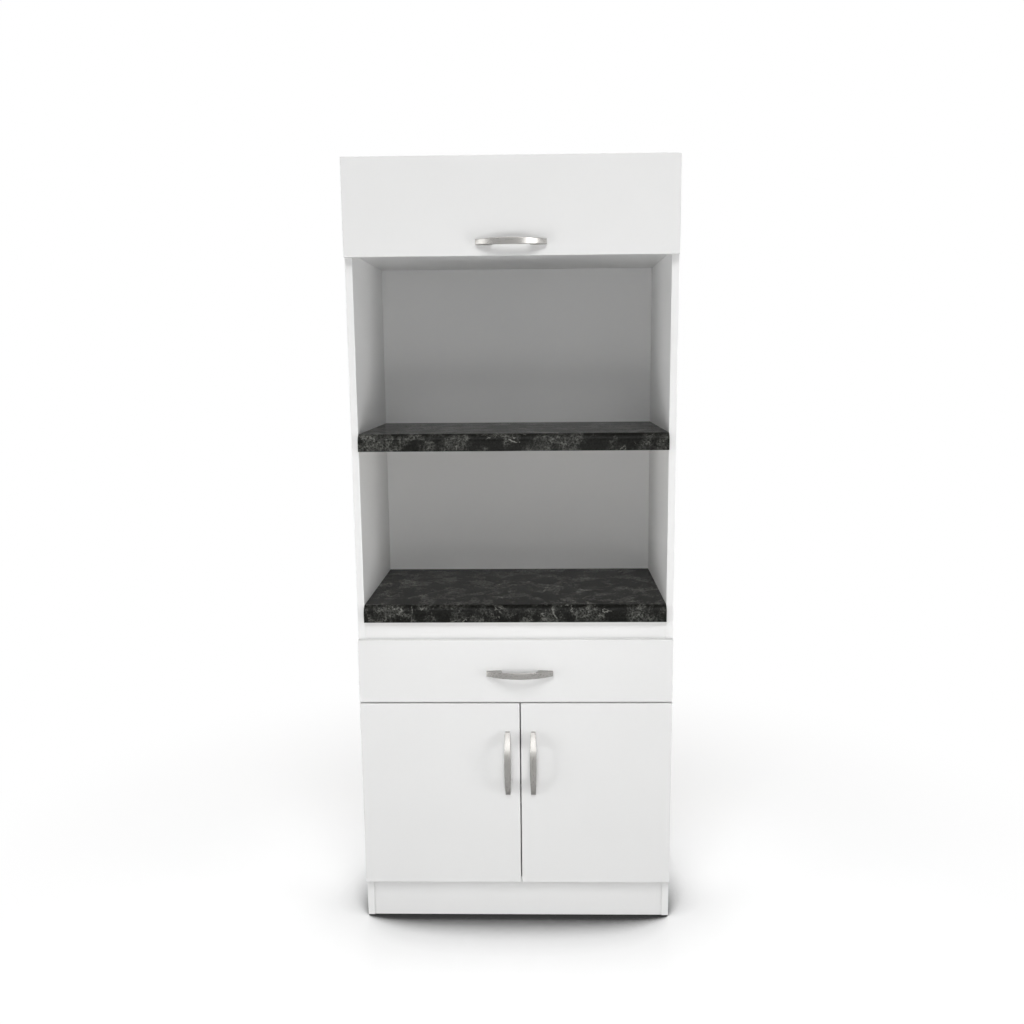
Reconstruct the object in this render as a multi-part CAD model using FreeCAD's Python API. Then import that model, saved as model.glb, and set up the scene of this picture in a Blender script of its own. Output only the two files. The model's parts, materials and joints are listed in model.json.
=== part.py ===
import FreeCAD, Part
import math
import os
from FreeCAD import Vector

# Tall microwave stand: a melamine carcass with two open niches on laminate worktops,
# a lift-up flap above, a drawer and a pair of doors below.
# Millimetres. +X to the right seen from the front, +Y to the back, +Z up, z = 0 on the floor.
# The model is laid out with y = 0 on the front edges of the side panels and moved at the end,
# so that the origin lies under the middle of the overall depth.

# ---- boards and overall sizes ----
WIDTH = 720.0               # over both side panels
SIDE_DEPTH = 397.0          # depth of a side panel, without the back
BOARD = 16.0                # melamine board
BACK_T = 3.0                # thin back and drawer bottom
GLIDE_H = 4.0               # plastic glide under a side panel
PLINTH_H = 84.0             # plinth board
LOWER_BAY_H = 627.0         # bottom panel to lower worktop, clear height
WORKTOP_T = 38.0
LOWER_NICHE_H = 352.0
UPPER_NICHE_H = 388.0
TOP_BAY_H = 166.0           # cupboard behind the flap, clear height
WORKTOP_NOSE = 10.0         # worktop in front of the side panels
WORKTOP_R = 17.0            # postformed top edge
PLINTH_SETBACK = 2.0
BACK_INSET = 2.0            # back panel inside the carcass outline

# ---- fronts ----
FRONT_T = 16.0
FRONT_GAP = 2.5             # between a front and the carcass edges
FRONT_INSET = 1.0           # front inside the carcass outline
FRONTS_GAP = 4.0            # drawer front to doors
DOORS_GAP = 3.0             # door to door
DOORS_MEET_X = 10.5         # middle of that gap, right of the cabinet's middle
FRONT_EDGE_R = 0.8          # edge band bevel
BOTTOM_REVEAL = 11.0        # bottom panel edge that shows below the doors
FLAP_REVEAL = 8.0           # flap below the underside of its cupboard floor
APRON_SHOW = 40.0           # rail that shows between lower worktop and drawer front
APRON_H = 50.0
DRAWER_FRONT_H = 146.0
DRAWER_RAIL_DEPTH = 80.0

# ---- handles ----
HANDLE_L = 152.0
HANDLE_REACH = 27.0         # in front of the front it is screwed to
HANDLE_W = 15.0             # strap width in the middle
HANDLE_END_W = 11.0
HANDLE_STRAP_T = 4.5
HANDLE_FOOT = 34.0          # length of a foot on the front
FOOT_DRAFT = 4.0            # the foot grows by this up to the strap
HANDLE_PITCH = 128.0        # screw spacing
HANDLE_END_T = 7.0          # height of the strap's end above the front
HANDLE_HOLLOW = 3.2         # rise of the strap's underside from a foot to the middle
DOOR_HANDLE_X = 29.5        # door handle centre from the middle of the door gap
DOOR_HANDLE_Z = 143.0       # door handle centre below the top of the door
FLAP_HANDLE_Z = 28.0        # flap handle centre above the lower edge of the flap
DRAWER_HANDLE_Z = 77.0      # drawer handle centre below the top of the drawer front
SCREW_R = 2.0               # M4 handle screw
SCREW_HEAD_R = 4.0
SCREW_HEAD_T = 1.8
SCREW_IN_HANDLE = 9.0
SCREW_CLEAR = 0.5           # radial play of the screw in a front
THREAD_CLEAR = 0.02         # radial play of a fastener in its own hole

# Small round fittings and their holes are prisms, so that their facets stay few.
SHANK_SIDES = 6
DISC_SIDES = 8
CUP_SIDES = 12

# ---- cam fittings and dowels ----
CAM_R = 7.5
CAM_H = 12.5
CAM_INSET = 34.0            # cam centre from the end of the board
CAM_AXIS = 8.0              # bolt axis below the face that the cam is set in
CAM_SLOT = 7.0              # slot that takes the bolt head
CAM_ROW = 37.0              # front row from the front edge of the board
POCKET_CLEAR = 0.1
BOLT_R = 3.0
BOLT_IN_SIDE = 10.5
DOWEL_R = 4.0
DOWEL_L = 30.0
DOWEL_IN_SIDE = 10.0

NAIL_R = 0.8
NAIL_HEAD_R = 2.5
NAIL_HEAD_T = 0.8

# ---- shelf ----
SHELF_GAP = 1.0             # shelf to side panel
SHELF_SETBACK = 30.0
SHELF_DEPTH = 355.0
SHELF_RISE = 205.0          # shelf above the bottom panel
PIN_R = 2.5
PIN_IN_SIDE = 9.0
PIN_REACH = 10.0
PIN_PLATE_T = 2.0
PIN_ROW = 65.0              # pin row from the shelf's front and back edge

# ---- roller runners and drawer box ----
RUNNER_GAP = 12.5           # side panel to drawer side
RUNNER_L = 350.0
SHEET = 1.0                 # steel of the runners
CHANNEL_H = 19.6
CHANNEL_LIP = 5.0
ROLLER_R = 8.2
ROLLER_W = 7.0
ROLLER_GAP = 0.3            # roller to the track
AXLE_R = 2.0
AXLE_HEAD_R = 3.6
AXLE_HEAD_T = 0.8
AXLE_CLEAR = 0.06
FRONT_ROLLER_Y = 14.0
REAR_ROLLER_INSET = 14.0    # rear roller from the back end of the drawer member
DRAWER_SIDE_T = 12.0
DRAWER_SIDE_H = 96.0
DRAWER_LIFT = 16.0          # drawer side above the drawer rail
GROOVE_UP = 10.0            # bottom groove above the lower edge of the side
GROOVE_D = 6.0
GROOVE_CLEAR = 0.2
FLANGE_W = 12.0             # runner flange under the drawer side
FLANGE_SCREW_L = 8.0        # stops below the groove
DRAWER_DOWEL_R = 3.0
DRAWER_DOWEL_IN = 10.0      # in the drawer front, and as much again in the side
DRAWER_DOWEL_RISE = (28.8, 76.8)    # above the lower edge of the side
WOOD_SCREW_R = 1.8
WOOD_SCREW_L = 14.0
WOOD_HEAD_R = 3.6
WOOD_HEAD_T = 1.6

# ---- concealed hinges ----
# Local frame of a hinge: x from the face that carries the arm, into the cupboard,
# y from the carcass front edge to the back, z along the pivots.
CUP_R = 17.5
CUP_DEPTH = 12.5
CUP_EDGE = 22.5             # cup centre from the edge of the front
CUP_WALL = 0.8
CUP_FLOOR = 1.0
CUP_FLANGE_T = 1.0
CUP_FLANGE_R = 19.5
CUP_EAR = 28.0              # half length of the flange
CUP_EAR_W = 14.0
POCKET_HALF = 6.6
HINGE_INSET = 80.0          # hinge from the ends of a door
FLAP_HINGE_INSET = 110.0    # hinge from the ends of the flap
OUTER_ARM_PIVOT = (34.0, 4.0)    # from the edge of the front, behind the carcass edge
INNER_ARM_PIVOT = (40.0, 4.0)
OUTER_CUP_PIVOT = (9.0, 6.5)     # from the edge of the front, below its back face
INNER_CUP_PIVOT = (10.0, 3.0)
OUTER_HOOK = 8.0            # first leg of the outer link, out of the cup
INNER_HOOK = 5.0
HOOK_ANGLE = 45.5           # between that leg and the line through both pivots
LINK_T = 2.2
INNER_LINK_T = 1.8
EYE_R = 1.7
INNER_EYE_R = 1.0           # the inner link's tip in the cup
PIVOT_R = 0.9
PIVOT_CLEAR = 0.05
OUTER_LINK_HALF = 3.6
INNER_LINK_GAP = 0.3
INNER_LINK_W = 2.3
ARM_WALL = 1.0
ARM_NOSE = 3.4              # arm around its pivots
ARM_L = 72.0
ARM_BACK_H = 18.0           # arm height where it is screwed to its plate
ARM_STEP_Y = 26.0           # where the arm drops to that height
ARM_STEP_END = 40.0
PLATE_T = 2.5
PLATE_HALF = 26.0
PLATE_FOOT_L = 14.0
PLATE_FOOT_Y = 30.0
PLATE_SCREW_PITCH = 32.0
PLATE_BLOCK_HALF = 6.3
PLATE_BLOCK_H = 10.0

# ---- gas stays of the flap ----
STAY_Y = 150.0              # cabinet stud behind the carcass edge
STAY_UP = 25.0              # cabinet stud above the cupboard floor
FLAP_STUD_DOWN = 45.0       # flap stud below the top panel
FLAP_STUD_OFF = 20.0        # flap stud behind the flap
STAY_PLANE = 13.0           # stay axis from the side panel
STAY_TUBE_R = 7.5
STAY_TUBE_WALL = 0.9
STAY_ROD_R = 3.0
STAY_STROKE = 90.0
STAY_SOCKET_R = 6.5
STAY_SOCKET_W = 9.0
STAY_NECK_R = 4.5
STAY_NECK_L = 14.0
STAY_PISTON_L = 6.0
STAY_RUN = 0.1              # radial play of piston and rod
STUD_R = 4.0
STUD_BASE_R = 9.0
STUD_BASE_T = 2.5
STUD_GAP = 0.3

# ---- derived places ----
INNER_X = WIDTH / 2 - BOARD
FRONT_X = WIDTH / 2 - FRONT_INSET
FRONT_BACK_Y = -FRONT_GAP
FRONT_FACE_Y = FRONT_BACK_Y - FRONT_T
HANDLE_Y = FRONT_FACE_Y - HANDLE_REACH
BACK_Y = SIDE_DEPTH + BACK_T
MIDDLE_Y = (BACK_Y + NAIL_HEAD_T + HANDLE_Y) / 2

BOTTOM_Z = GLIDE_H + PLINTH_H
LOWER_BAY_Z = BOTTOM_Z + BOARD
LOWER_TOP_Z = LOWER_BAY_Z + LOWER_BAY_H
UPPER_TOP_Z = LOWER_TOP_Z + WORKTOP_T + LOWER_NICHE_H
FLOOR_Z = UPPER_TOP_Z + WORKTOP_T + UPPER_NICHE_H
TOP_BAY_Z = FLOOR_Z + BOARD
TOP_Z = TOP_BAY_Z + TOP_BAY_H
HEIGHT = TOP_Z + BOARD

DRAWER_TOP_Z = LOWER_TOP_Z - APRON_SHOW
DRAWER_LOW_Z = DRAWER_TOP_Z - DRAWER_FRONT_H
DOOR_TOP_Z = DRAWER_LOW_Z - FRONTS_GAP
DOOR_LOW_Z = BOTTOM_Z + BOTTOM_REVEAL
RAIL_Z = DOOR_TOP_Z + FRONTS_GAP / 2 - BOARD / 2
FLAP_LOW_Z = FLOOR_Z - FLAP_REVEAL
FLAP_TOP_Z = HEIGHT - FRONT_INSET
BACK_SPLIT_Z = UPPER_TOP_Z + WORKTOP_T / 2

BOX_Z = RAIL_Z + BOARD + DRAWER_LIFT
BOX_X = INNER_X - RUNNER_GAP
BOX_BACK_Y = FRONT_BACK_Y + RUNNER_L
CHANNEL_Z = BOX_Z - 3 * SHEET
CHANNEL_SCREW_Y = (FRONT_ROLLER_Y + 2 * ROLLER_R, RUNNER_L / 2, RUNNER_L - 2 * ROLLER_R)
FLANGE_SCREW_Y = (RUNNER_L / 6, RUNNER_L * 5 / 6)
EDGE_X = FRONT_INSET - BOARD          # edge of a front in a hinge's local frame

NODES = {}


def box(x0, x1, y0, y1, z0, z1):
    """A block between two corners."""
    return Part.makeBox(x1 - x0, y1 - y0, z1 - z0, Vector(x0, y0, z0))


def rod(start, direction, radius, length, sides=0):
    """A cylinder from a point along an axis direction, or a prism inscribed in it."""
    along = Vector(*direction)
    if not sides:
        return Part.makeCylinder(radius, length, Vector(*start), along)
    across = Vector(1, 0, 0) if direction[2] else Vector(0, 0, 1)
    other = along.cross(across)
    turns = [2 * math.pi * step / sides for step in range(sides)]
    points = [Vector(*start) + (across * math.cos(turn) + other * math.sin(turn)) * radius for turn in turns]
    return Part.Face(Part.makePolygon(points + points[:1])).extrude(along * length)


def round_in(radius, sides):
    """Radius of the prism hole in which a shaft of this radius can still turn."""
    return radius / math.cos(math.pi / sides)


def cut(shape, tools):
    """The shape with every tool taken out of it."""
    return shape.cut(tools) if tools else shape


def outline(points, depth):
    """A face through points in a plane, extruded along the vector depth."""
    vectors = [Vector(*point) for point in points]
    wire = Part.makePolygon(vectors + [vectors[0]])
    return Part.Face(wire).extrude(Vector(*depth))


def both_sides(make):
    """The solids that make(side) gives on the left (-1) and on the right (+1)."""
    return [solid for side in (-1, 1) for solid in make(side)]


def span(side, near, far):
    """The two x of a stretch measured outwards from the middle, lower one first."""
    return sorted((side * near, side * far))


def mirrored(shape):
    """The same shape on the other side of the middle plane."""
    return shape.mirror(Vector(0, 0, 0), Vector(1, 0, 0))


# ---- carcass joints: cam fittings and dowels, with the holes that take them ----
CAM_SOLIDS = []
BOLT_SOLIDS = []
DOWEL_SOLIDS = []
SIDE_HOLES = {-1: [], 1: []}


def cam_joint(side, y, axis_z, face):
    """One cam fitting; face is +1 where the cam is set in from above. Returns the board's holes."""
    centre_x = side * (INNER_X - CAM_INSET)
    mouth_z = axis_z + face * CAM_AXIS
    cam = rod((centre_x, y, mouth_z), (0, 0, -face), CAM_R, CAM_H, DISC_SIDES)
    slot_x = span(side, INNER_X - CAM_INSET - CAM_SLOT / 2, INNER_X - CAM_INSET + 2 * CAM_R)
    slot_z = sorted((mouth_z - face * CAM_H - face, axis_z + face * CAM_SLOT / 2))
    CAM_SOLIDS.append(cam.cut(box(*slot_x, y - CAM_SLOT / 2, y + CAM_SLOT / 2, *slot_z)))

    BOLT_SOLIDS.append(rod((side * (INNER_X + BOLT_IN_SIDE), y, axis_z), (-side, 0, 0),
                           BOLT_R, BOLT_IN_SIDE + CAM_INSET, SHANK_SIDES))
    SIDE_HOLES[side].append(rod((side * INNER_X, y, axis_z), (side, 0, 0),
                                BOLT_R + THREAD_CLEAR, BOLT_IN_SIDE + POCKET_CLEAR, SHANK_SIDES))
    pocket = rod((centre_x, y, mouth_z), (0, 0, -face), CAM_R + POCKET_CLEAR, CAM_H + POCKET_CLEAR,
                 DISC_SIDES)
    channel = rod((side * INNER_X, y, axis_z), (-side, 0, 0), BOLT_R + POCKET_CLEAR, CAM_INSET, SHANK_SIDES)
    return [pocket, channel]


def cam_row(axis_z, face, front_y, back_y):
    """Cam fittings at both ends of a board, one near its front and one near its back."""
    holes = []
    for side in (-1, 1):
        for y in (front_y, back_y):
            holes += cam_joint(side, y, axis_z, face)
    return holes


def dowel_row(places):
    """Dowels in both ends of a rail at the given (y, z). Returns the rail's holes."""
    holes = []
    for side in (-1, 1):
        for y, z in places:
            start = (side * (INNER_X + DOWEL_IN_SIDE), y, z)
            DOWEL_SOLIDS.append(rod(start, (-side, 0, 0), DOWEL_R, DOWEL_L, SHANK_SIDES))
            hole = rod((start[0] + side * POCKET_CLEAR, y, z), (-side, 0, 0),
                       DOWEL_R + THREAD_CLEAR, DOWEL_L + 2 * POCKET_CLEAR, SHANK_SIDES)
            SIDE_HOLES[side].append(hole)
            holes.append(hole)
    return holes


def wood_screw(place, direction, length):
    """A pan head screw that goes in along a direction, its head seated at the place."""
    head = rod(place, [-step for step in direction], WOOD_HEAD_R, WOOD_HEAD_T, SHANK_SIDES)
    return head.fuse(rod(place, direction, WOOD_SCREW_R, length, SHANK_SIDES)).removeSplitter()


# ---- handles ----
def handle(centre, along_x):
    """A bow pull on a front, lying along x or standing along z, and its two screws."""
    half = HANDLE_L / 2
    foot = half - HANDLE_FOOT
    reach = HANDLE_REACH
    inner = reach - HANDLE_STRAP_T
    tip = -HANDLE_END_T
    outer_arc = Part.Arc(Vector(-half, tip, 0), Vector(0, -reach, 0), Vector(half, tip, 0))
    # the strap's hollow side runs from one foot to the other, nearly straight
    root = inner - HANDLE_HOLLOW
    neck = foot - FOOT_DRAFT
    inner_arc = Part.Arc(Vector(neck, -root, 0), Vector(0, -inner, 0), Vector(-neck, -root, 0))
    corners = [Vector(half, tip, 0), Vector(half, 0, 0), Vector(foot, 0, 0), Vector(neck, -root, 0)]
    right = [Part.LineSegment(a, b) for a, b in zip(corners, corners[1:])]
    left_points = [Vector(-c.x, c.y, 0) for c in reversed(corners)]
    left = [Part.LineSegment(a, b) for a, b in zip(left_points, left_points[1:])]
    edges = [curve.toShape() for curve in [outer_arc] + right + [inner_arc] + left]
    side_view = Part.Face(Part.Wire(Part.__sortEdges__(edges))).extrude(Vector(0, 0, HANDLE_W))
    side_view.translate(Vector(0, 0, -HANDLE_W / 2))

    wide, narrow = HANDLE_W / 2, HANDLE_END_W / 2
    top = Part.Arc(Vector(-half, 0, narrow), Vector(0, 0, wide), Vector(half, 0, narrow))
    low = Part.Arc(Vector(half, 0, -narrow), Vector(0, 0, -wide), Vector(-half, 0, -narrow))
    ends = [Part.LineSegment(Vector(s * half, 0, -narrow), Vector(s * half, 0, narrow)) for s in (-1, 1)]
    plan_edges = [curve.toShape() for curve in [top, low] + ends]
    plan = Part.Face(Part.Wire(Part.__sortEdges__(plan_edges))).extrude(Vector(0, -reach - 1, 0))
    pull = side_view.common(plan).removeSplitter()

    screws = []
    for end in (-1, 1):
        x = end * HANDLE_PITCH / 2
        bore_r = SCREW_R + THREAD_CLEAR
        pull = pull.cut(rod((x, 0, 0), (0, -1, 0), bore_r, SCREW_IN_HANDLE + POCKET_CLEAR, SHANK_SIDES))
        shank = rod((x, FRONT_T, 0), (0, -1, 0), SCREW_R, FRONT_T + SCREW_IN_HANDLE, SHANK_SIDES)
        head = rod((x, FRONT_T, 0), (0, 1, 0), SCREW_HEAD_R, SCREW_HEAD_T, SHANK_SIDES)
        screws.append(shank.fuse(head).removeSplitter())
    screws = Part.makeCompound(screws)
    for shape in (pull, screws):
        if not along_x:
            shape.rotate(Vector(0, 0, 0), Vector(0, 1, 0), 90)
        shape.translate(Vector(centre[0], FRONT_FACE_Y, centre[1]))
    return pull, screws


def drawer_dowel_places():
    """The (side, z) of the dowels between the drawer front and the drawer sides."""
    return [(side, BOX_Z + rise) for side in (-1, 1) for rise in DRAWER_DOWEL_RISE]


def drawer_dowel(side, z, play):
    """A dowel from the drawer front into a drawer side, or with play the hole that takes it."""
    start = (side * (BOX_X - DRAWER_SIDE_T / 2), FRONT_BACK_Y - DRAWER_DOWEL_IN - play, z)
    radius = DRAWER_DOWEL_R + (THREAD_CLEAR if play else 0)
    return rod(start, (0, 1, 0), radius, 2 * (DRAWER_DOWEL_IN + play), SHANK_SIDES)


def handle_holes(centre, along_x):
    """Clearance holes through a front for the screws of its handle."""
    holes = []
    for end in (-1, 1):
        shift = end * HANDLE_PITCH / 2
        x = centre[0] + (shift if along_x else 0)
        z = centre[1] + (0 if along_x else shift)
        holes.append(rod((x, FRONT_FACE_Y - 1, z), (0, 1, 0), SCREW_R + SCREW_CLEAR, FRONT_T + 2,
                         SHANK_SIDES))
    return holes


def front_panel(x0, x1, z0, z1):
    """A front board with the edges of its outer face eased by the edge band."""
    panel = box(x0, x1, FRONT_FACE_Y, FRONT_BACK_Y, z0, z1)
    outer = [e for e in panel.Edges if all(abs(v.Y - FRONT_FACE_Y) < 0.01 for v in e.Vertexes)]
    return panel.makeChamfer(FRONT_EDGE_R, outer)


# ---- concealed hinges, in their local frame ----
def from_edge(pivot):
    """Local place of an arm pivot given from the edge of the front."""
    return EDGE_X + pivot[0], pivot[1]


def in_cup(pivot):
    """Local place of a cup pivot given from the edge and below the back face."""
    return EDGE_X + pivot[0], FRONT_BACK_Y - pivot[1]


def eye(centre, heading, radius, half_thick, turns):
    """The tip of a link around a pivot: wire edges and the two points where they start and end."""
    def at(turn):
        return centre + Vector(math.cos(heading + turn), math.sin(heading + turn), 0) * radius
    flank = math.pi - math.asin(half_thick / radius)
    start, near, far, end = at(-flank), at(-math.pi / 4), at(math.pi / 4), at(flank)
    tip = Part.Arc(near, at(0), far).toShape() if turns else Part.makeLine(near, far)
    return [Part.makeLine(start, near), tip, Part.makeLine(far, end)], start, end


def link(arm_pivot, cup_pivot, hook, half_width, half_thick, cup_eye_r):
    """A hooked hinge link, rounded where it turns on a pin, without its bores."""
    arm = Vector(*from_edge(arm_pivot), 0)
    cup = Vector(*in_cup(cup_pivot), 0)
    heading = math.atan2(arm.y - cup.y, arm.x - cup.x) - math.radians(HOOK_ANGLE)
    bend = cup + Vector(math.cos(heading), math.sin(heading), 0) * hook
    shank = (arm - bend).normalize()
    leg = (bend - cup).normalize()
    # the corner of a flank on the bisector of the bend
    corner = Vector(-leg.y - shank.y, leg.x + shank.x, 0) * (half_thick / (1 + leg.dot(shank)))
    cup_edges, cup_start, cup_end = eye(cup, math.atan2(-leg.y, -leg.x), cup_eye_r, half_thick,
                                        cup_eye_r == EYE_R)
    arm_edges, arm_start, arm_end = eye(arm, math.atan2(shank.y, shank.x), EYE_R, half_thick, True)
    flanks = [(cup_end, bend - corner), (bend - corner, arm_start),
              (arm_end, bend + corner), (bend + corner, cup_start)]
    edges = cup_edges + arm_edges + [Part.makeLine(*ends) for ends in flanks]
    side_view = Part.Face(Part.Wire(Part.__sortEdges__(edges)))
    side_view.translate(Vector(0, 0, -half_width))
    return side_view.extrude(Vector(0, 0, 2 * half_width))


def pivot_rod(place, half_length):
    """A pivot pin through a local place."""
    return rod((*place, -half_length), (0, 0, 1), PIVOT_R, 2 * half_length, SHANK_SIDES)


def pivot_bore(place):
    """The bore of a link that turns on a pivot pin."""
    bore_r = round_in(PIVOT_R + PIVOT_CLEAR, SHANK_SIDES)
    return rod((*place, -POCKET_HALF), (0, 0, 1), bore_r, 2 * POCKET_HALF, SHANK_SIDES)


def outer_link():
    """The outer link: one wide bar that turns on a pin in the arm and carries the cup's pin."""
    bar = link(OUTER_ARM_PIVOT, OUTER_CUP_PIVOT, OUTER_HOOK, OUTER_LINK_HALF, LINK_T / 2, EYE_R)
    return [cut(bar, [pivot_bore(from_edge(OUTER_ARM_PIVOT)), pivot_bore(in_cup(OUTER_CUP_PIVOT))])]


def inner_link():
    """The inner link: two cheeks that pass either side of the outer link."""
    near = OUTER_LINK_HALF + INNER_LINK_GAP
    bar = link(INNER_ARM_PIVOT, INNER_CUP_PIVOT, INNER_HOOK, near + INNER_LINK_W,
               INNER_LINK_T / 2, INNER_EYE_R)
    bar = cut(bar, [pivot_bore(from_edge(INNER_ARM_PIVOT))])
    gap = box(-WIDTH, WIDTH, -WIDTH, WIDTH, -near, near)
    return bar.cut(gap).Solids


def cup():
    """The hinge cup with its flange, its pocket for the links and the outer link's riveted pin."""
    centre = EDGE_X + CUP_EDGE
    face = FRONT_BACK_Y
    bowl = rod((centre, face, 0), (0, -1, 0), CUP_R, CUP_DEPTH, CUP_SIDES)
    disc = rod((centre, face, 0), (0, 1, 0), CUP_FLANGE_R, CUP_FLANGE_T, CUP_SIDES)
    ears = box(centre, centre + CUP_EAR_W, face, face + CUP_FLANGE_T, -CUP_EAR, CUP_EAR)
    body = bowl.fuse([disc, ears]).removeSplitter()
    reach = math.sqrt(CUP_R ** 2 - POCKET_HALF ** 2) - CUP_WALL
    floor_y = face - CUP_DEPTH + CUP_FLOOR
    pocket = box(centre - reach, centre + reach, floor_y, face + 2 * CUP_FLANGE_T, -POCKET_HALF, POCKET_HALF)
    relief = box(EDGE_X - 1, centre, face, face + 2 * CUP_FLANGE_T, -POCKET_HALF, POCKET_HALF)
    pin = pivot_rod(in_cup(OUTER_CUP_PIVOT), POCKET_HALF + CUP_WALL)
    return [cut(body, [pocket, relief]).fuse(pin).removeSplitter()]


def cup_hole():
    """The blind hole in a front for a hinge cup."""
    centre = EDGE_X + CUP_EDGE
    start = (centre, FRONT_BACK_Y + 1, 0)
    return rod(start, (0, -1, 0), CUP_R + POCKET_CLEAR, CUP_DEPTH + POCKET_CLEAR + 1, CUP_SIDES)


def arm():
    """The cabinet arm: a folded channel, open towards the panel, with two riveted pins."""
    outer = from_edge(OUTER_ARM_PIVOT)
    inner = from_edge(INNER_ARM_PIVOT)
    low_x = outer[0] - ARM_NOSE
    high_x = inner[0] + ARM_NOSE
    front_y = inner[1] - ARM_NOSE
    seat_x = PLATE_T + PLATE_BLOCK_H - 2 * ARM_WALL
    high = [(high_x, front_y), (high_x, ARM_STEP_Y), (ARM_BACK_H, ARM_STEP_END), (ARM_BACK_H, ARM_L)]
    low = [(seat_x, ARM_L), (seat_x, ARM_STEP_Y), (low_x, front_y + 2 * ARM_NOSE), (low_x, front_y)]
    half = POCKET_HALF + ARM_WALL
    shell = outline([(x, y, -half) for x, y in high + low], (0, 0, 2 * half))
    # the hollow follows the web on the high side and is open everywhere else
    hollow_high = [(x - ARM_WALL, y) for x, y in high]
    hollow_high[0] = (high_x - ARM_WALL, front_y - 1)
    hollow_high[-1] = (ARM_BACK_H - ARM_WALL, ARM_L + 1)
    hollow_low = [(-1, ARM_L + 1), (-1, front_y - 1)]
    hollow = outline([(x, y, -POCKET_HALF) for x, y in hollow_high + hollow_low], (0, 0, 2 * POCKET_HALF))
    pins = [pivot_rod(place, half) for place in (outer, inner)]
    return [shell.cut(hollow).fuse(pins).removeSplitter()]


def plate():
    """The mounting plate: a foot across the panel and a block that the arm slides over."""
    foot = box(0, PLATE_T, PLATE_FOOT_Y, PLATE_FOOT_Y + PLATE_FOOT_L, -PLATE_HALF, PLATE_HALF)
    block = box(0, PLATE_T + PLATE_BLOCK_H, PLATE_FOOT_Y, ARM_L - 2 * ARM_WALL,
                -PLATE_BLOCK_HALF, PLATE_BLOCK_HALF)
    screws = []
    for end in (-1, 1):
        place = (PLATE_T, PLATE_FOOT_Y + PLATE_FOOT_L / 2, end * PLATE_SCREW_PITCH / 2)
        screws.append(wood_screw(place, (-1, 0, 0), WOOD_SCREW_L))
    holes = [rod((PLATE_T + 1, PLATE_FOOT_Y + PLATE_FOOT_L / 2, end * PLATE_SCREW_PITCH / 2),
                 (-1, 0, 0), WOOD_SCREW_R + THREAD_CLEAR, PLATE_T + 2, SHANK_SIDES) for end in (-1, 1)]
    return [cut(foot.fuse(block).removeSplitter(), holes)], screws


def on_left_door(shape, z):
    """A shape from the hinge's local frame, on the left side panel at height z."""
    placed = shape.copy()
    placed.translate(Vector(-INNER_X, 0, z))
    return placed


def on_right_door(shape, z):
    """The same on the right side panel."""
    return mirrored(on_left_door(shape, z))


def on_flap(shape, x):
    """The same under the top panel, with the pivots along x."""
    placed = shape.copy()
    placed.rotate(Vector(0, 0, 0), Vector(0, 1, 0), 90)
    placed.translate(Vector(x, 0, TOP_Z))
    return placed


DOOR_HINGES = (DOOR_LOW_Z + HINGE_INSET, DOOR_TOP_Z - HINGE_INSET)
FLAP_HINGES = (FLAP_HINGE_INSET - FRONT_X, FRONT_X - FLAP_HINGE_INSET)
HINGE_SETS = (("door_left", on_left_door, DOOR_HINGES),
              ("door_right", on_right_door, DOOR_HINGES),
              ("flap", on_flap, FLAP_HINGES))


def hinges():
    """Every hinge piece on its front and on the cabinet. Returns the holes of each front."""
    holes = {}
    plates, arms, screws = [], [], []
    plate_solids, plate_screws = plate()
    for name, place, spots in HINGE_SETS:
        NODES[name + "_hinge_cups"] = [place(s, spot) for spot in spots for s in cup()]
        NODES[name + "_outer_links"] = [place(s, spot) for spot in spots for s in outer_link()]
        NODES[name + "_inner_links"] = [place(s, spot) for spot in spots for s in inner_link()]
        plates += [place(s, spot) for spot in spots for s in plate_solids]
        arms += [place(s, spot) for spot in spots for s in arm()]
        screws += [place(s, spot) for spot in spots for s in plate_screws]
        holes[name] = [place(cup_hole(), spot) for spot in spots]
    NODES["hinge_plates"] = plates
    NODES["hinge_arms"] = arms
    NODES["hinge_plate_screws"] = screws
    return holes


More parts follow.
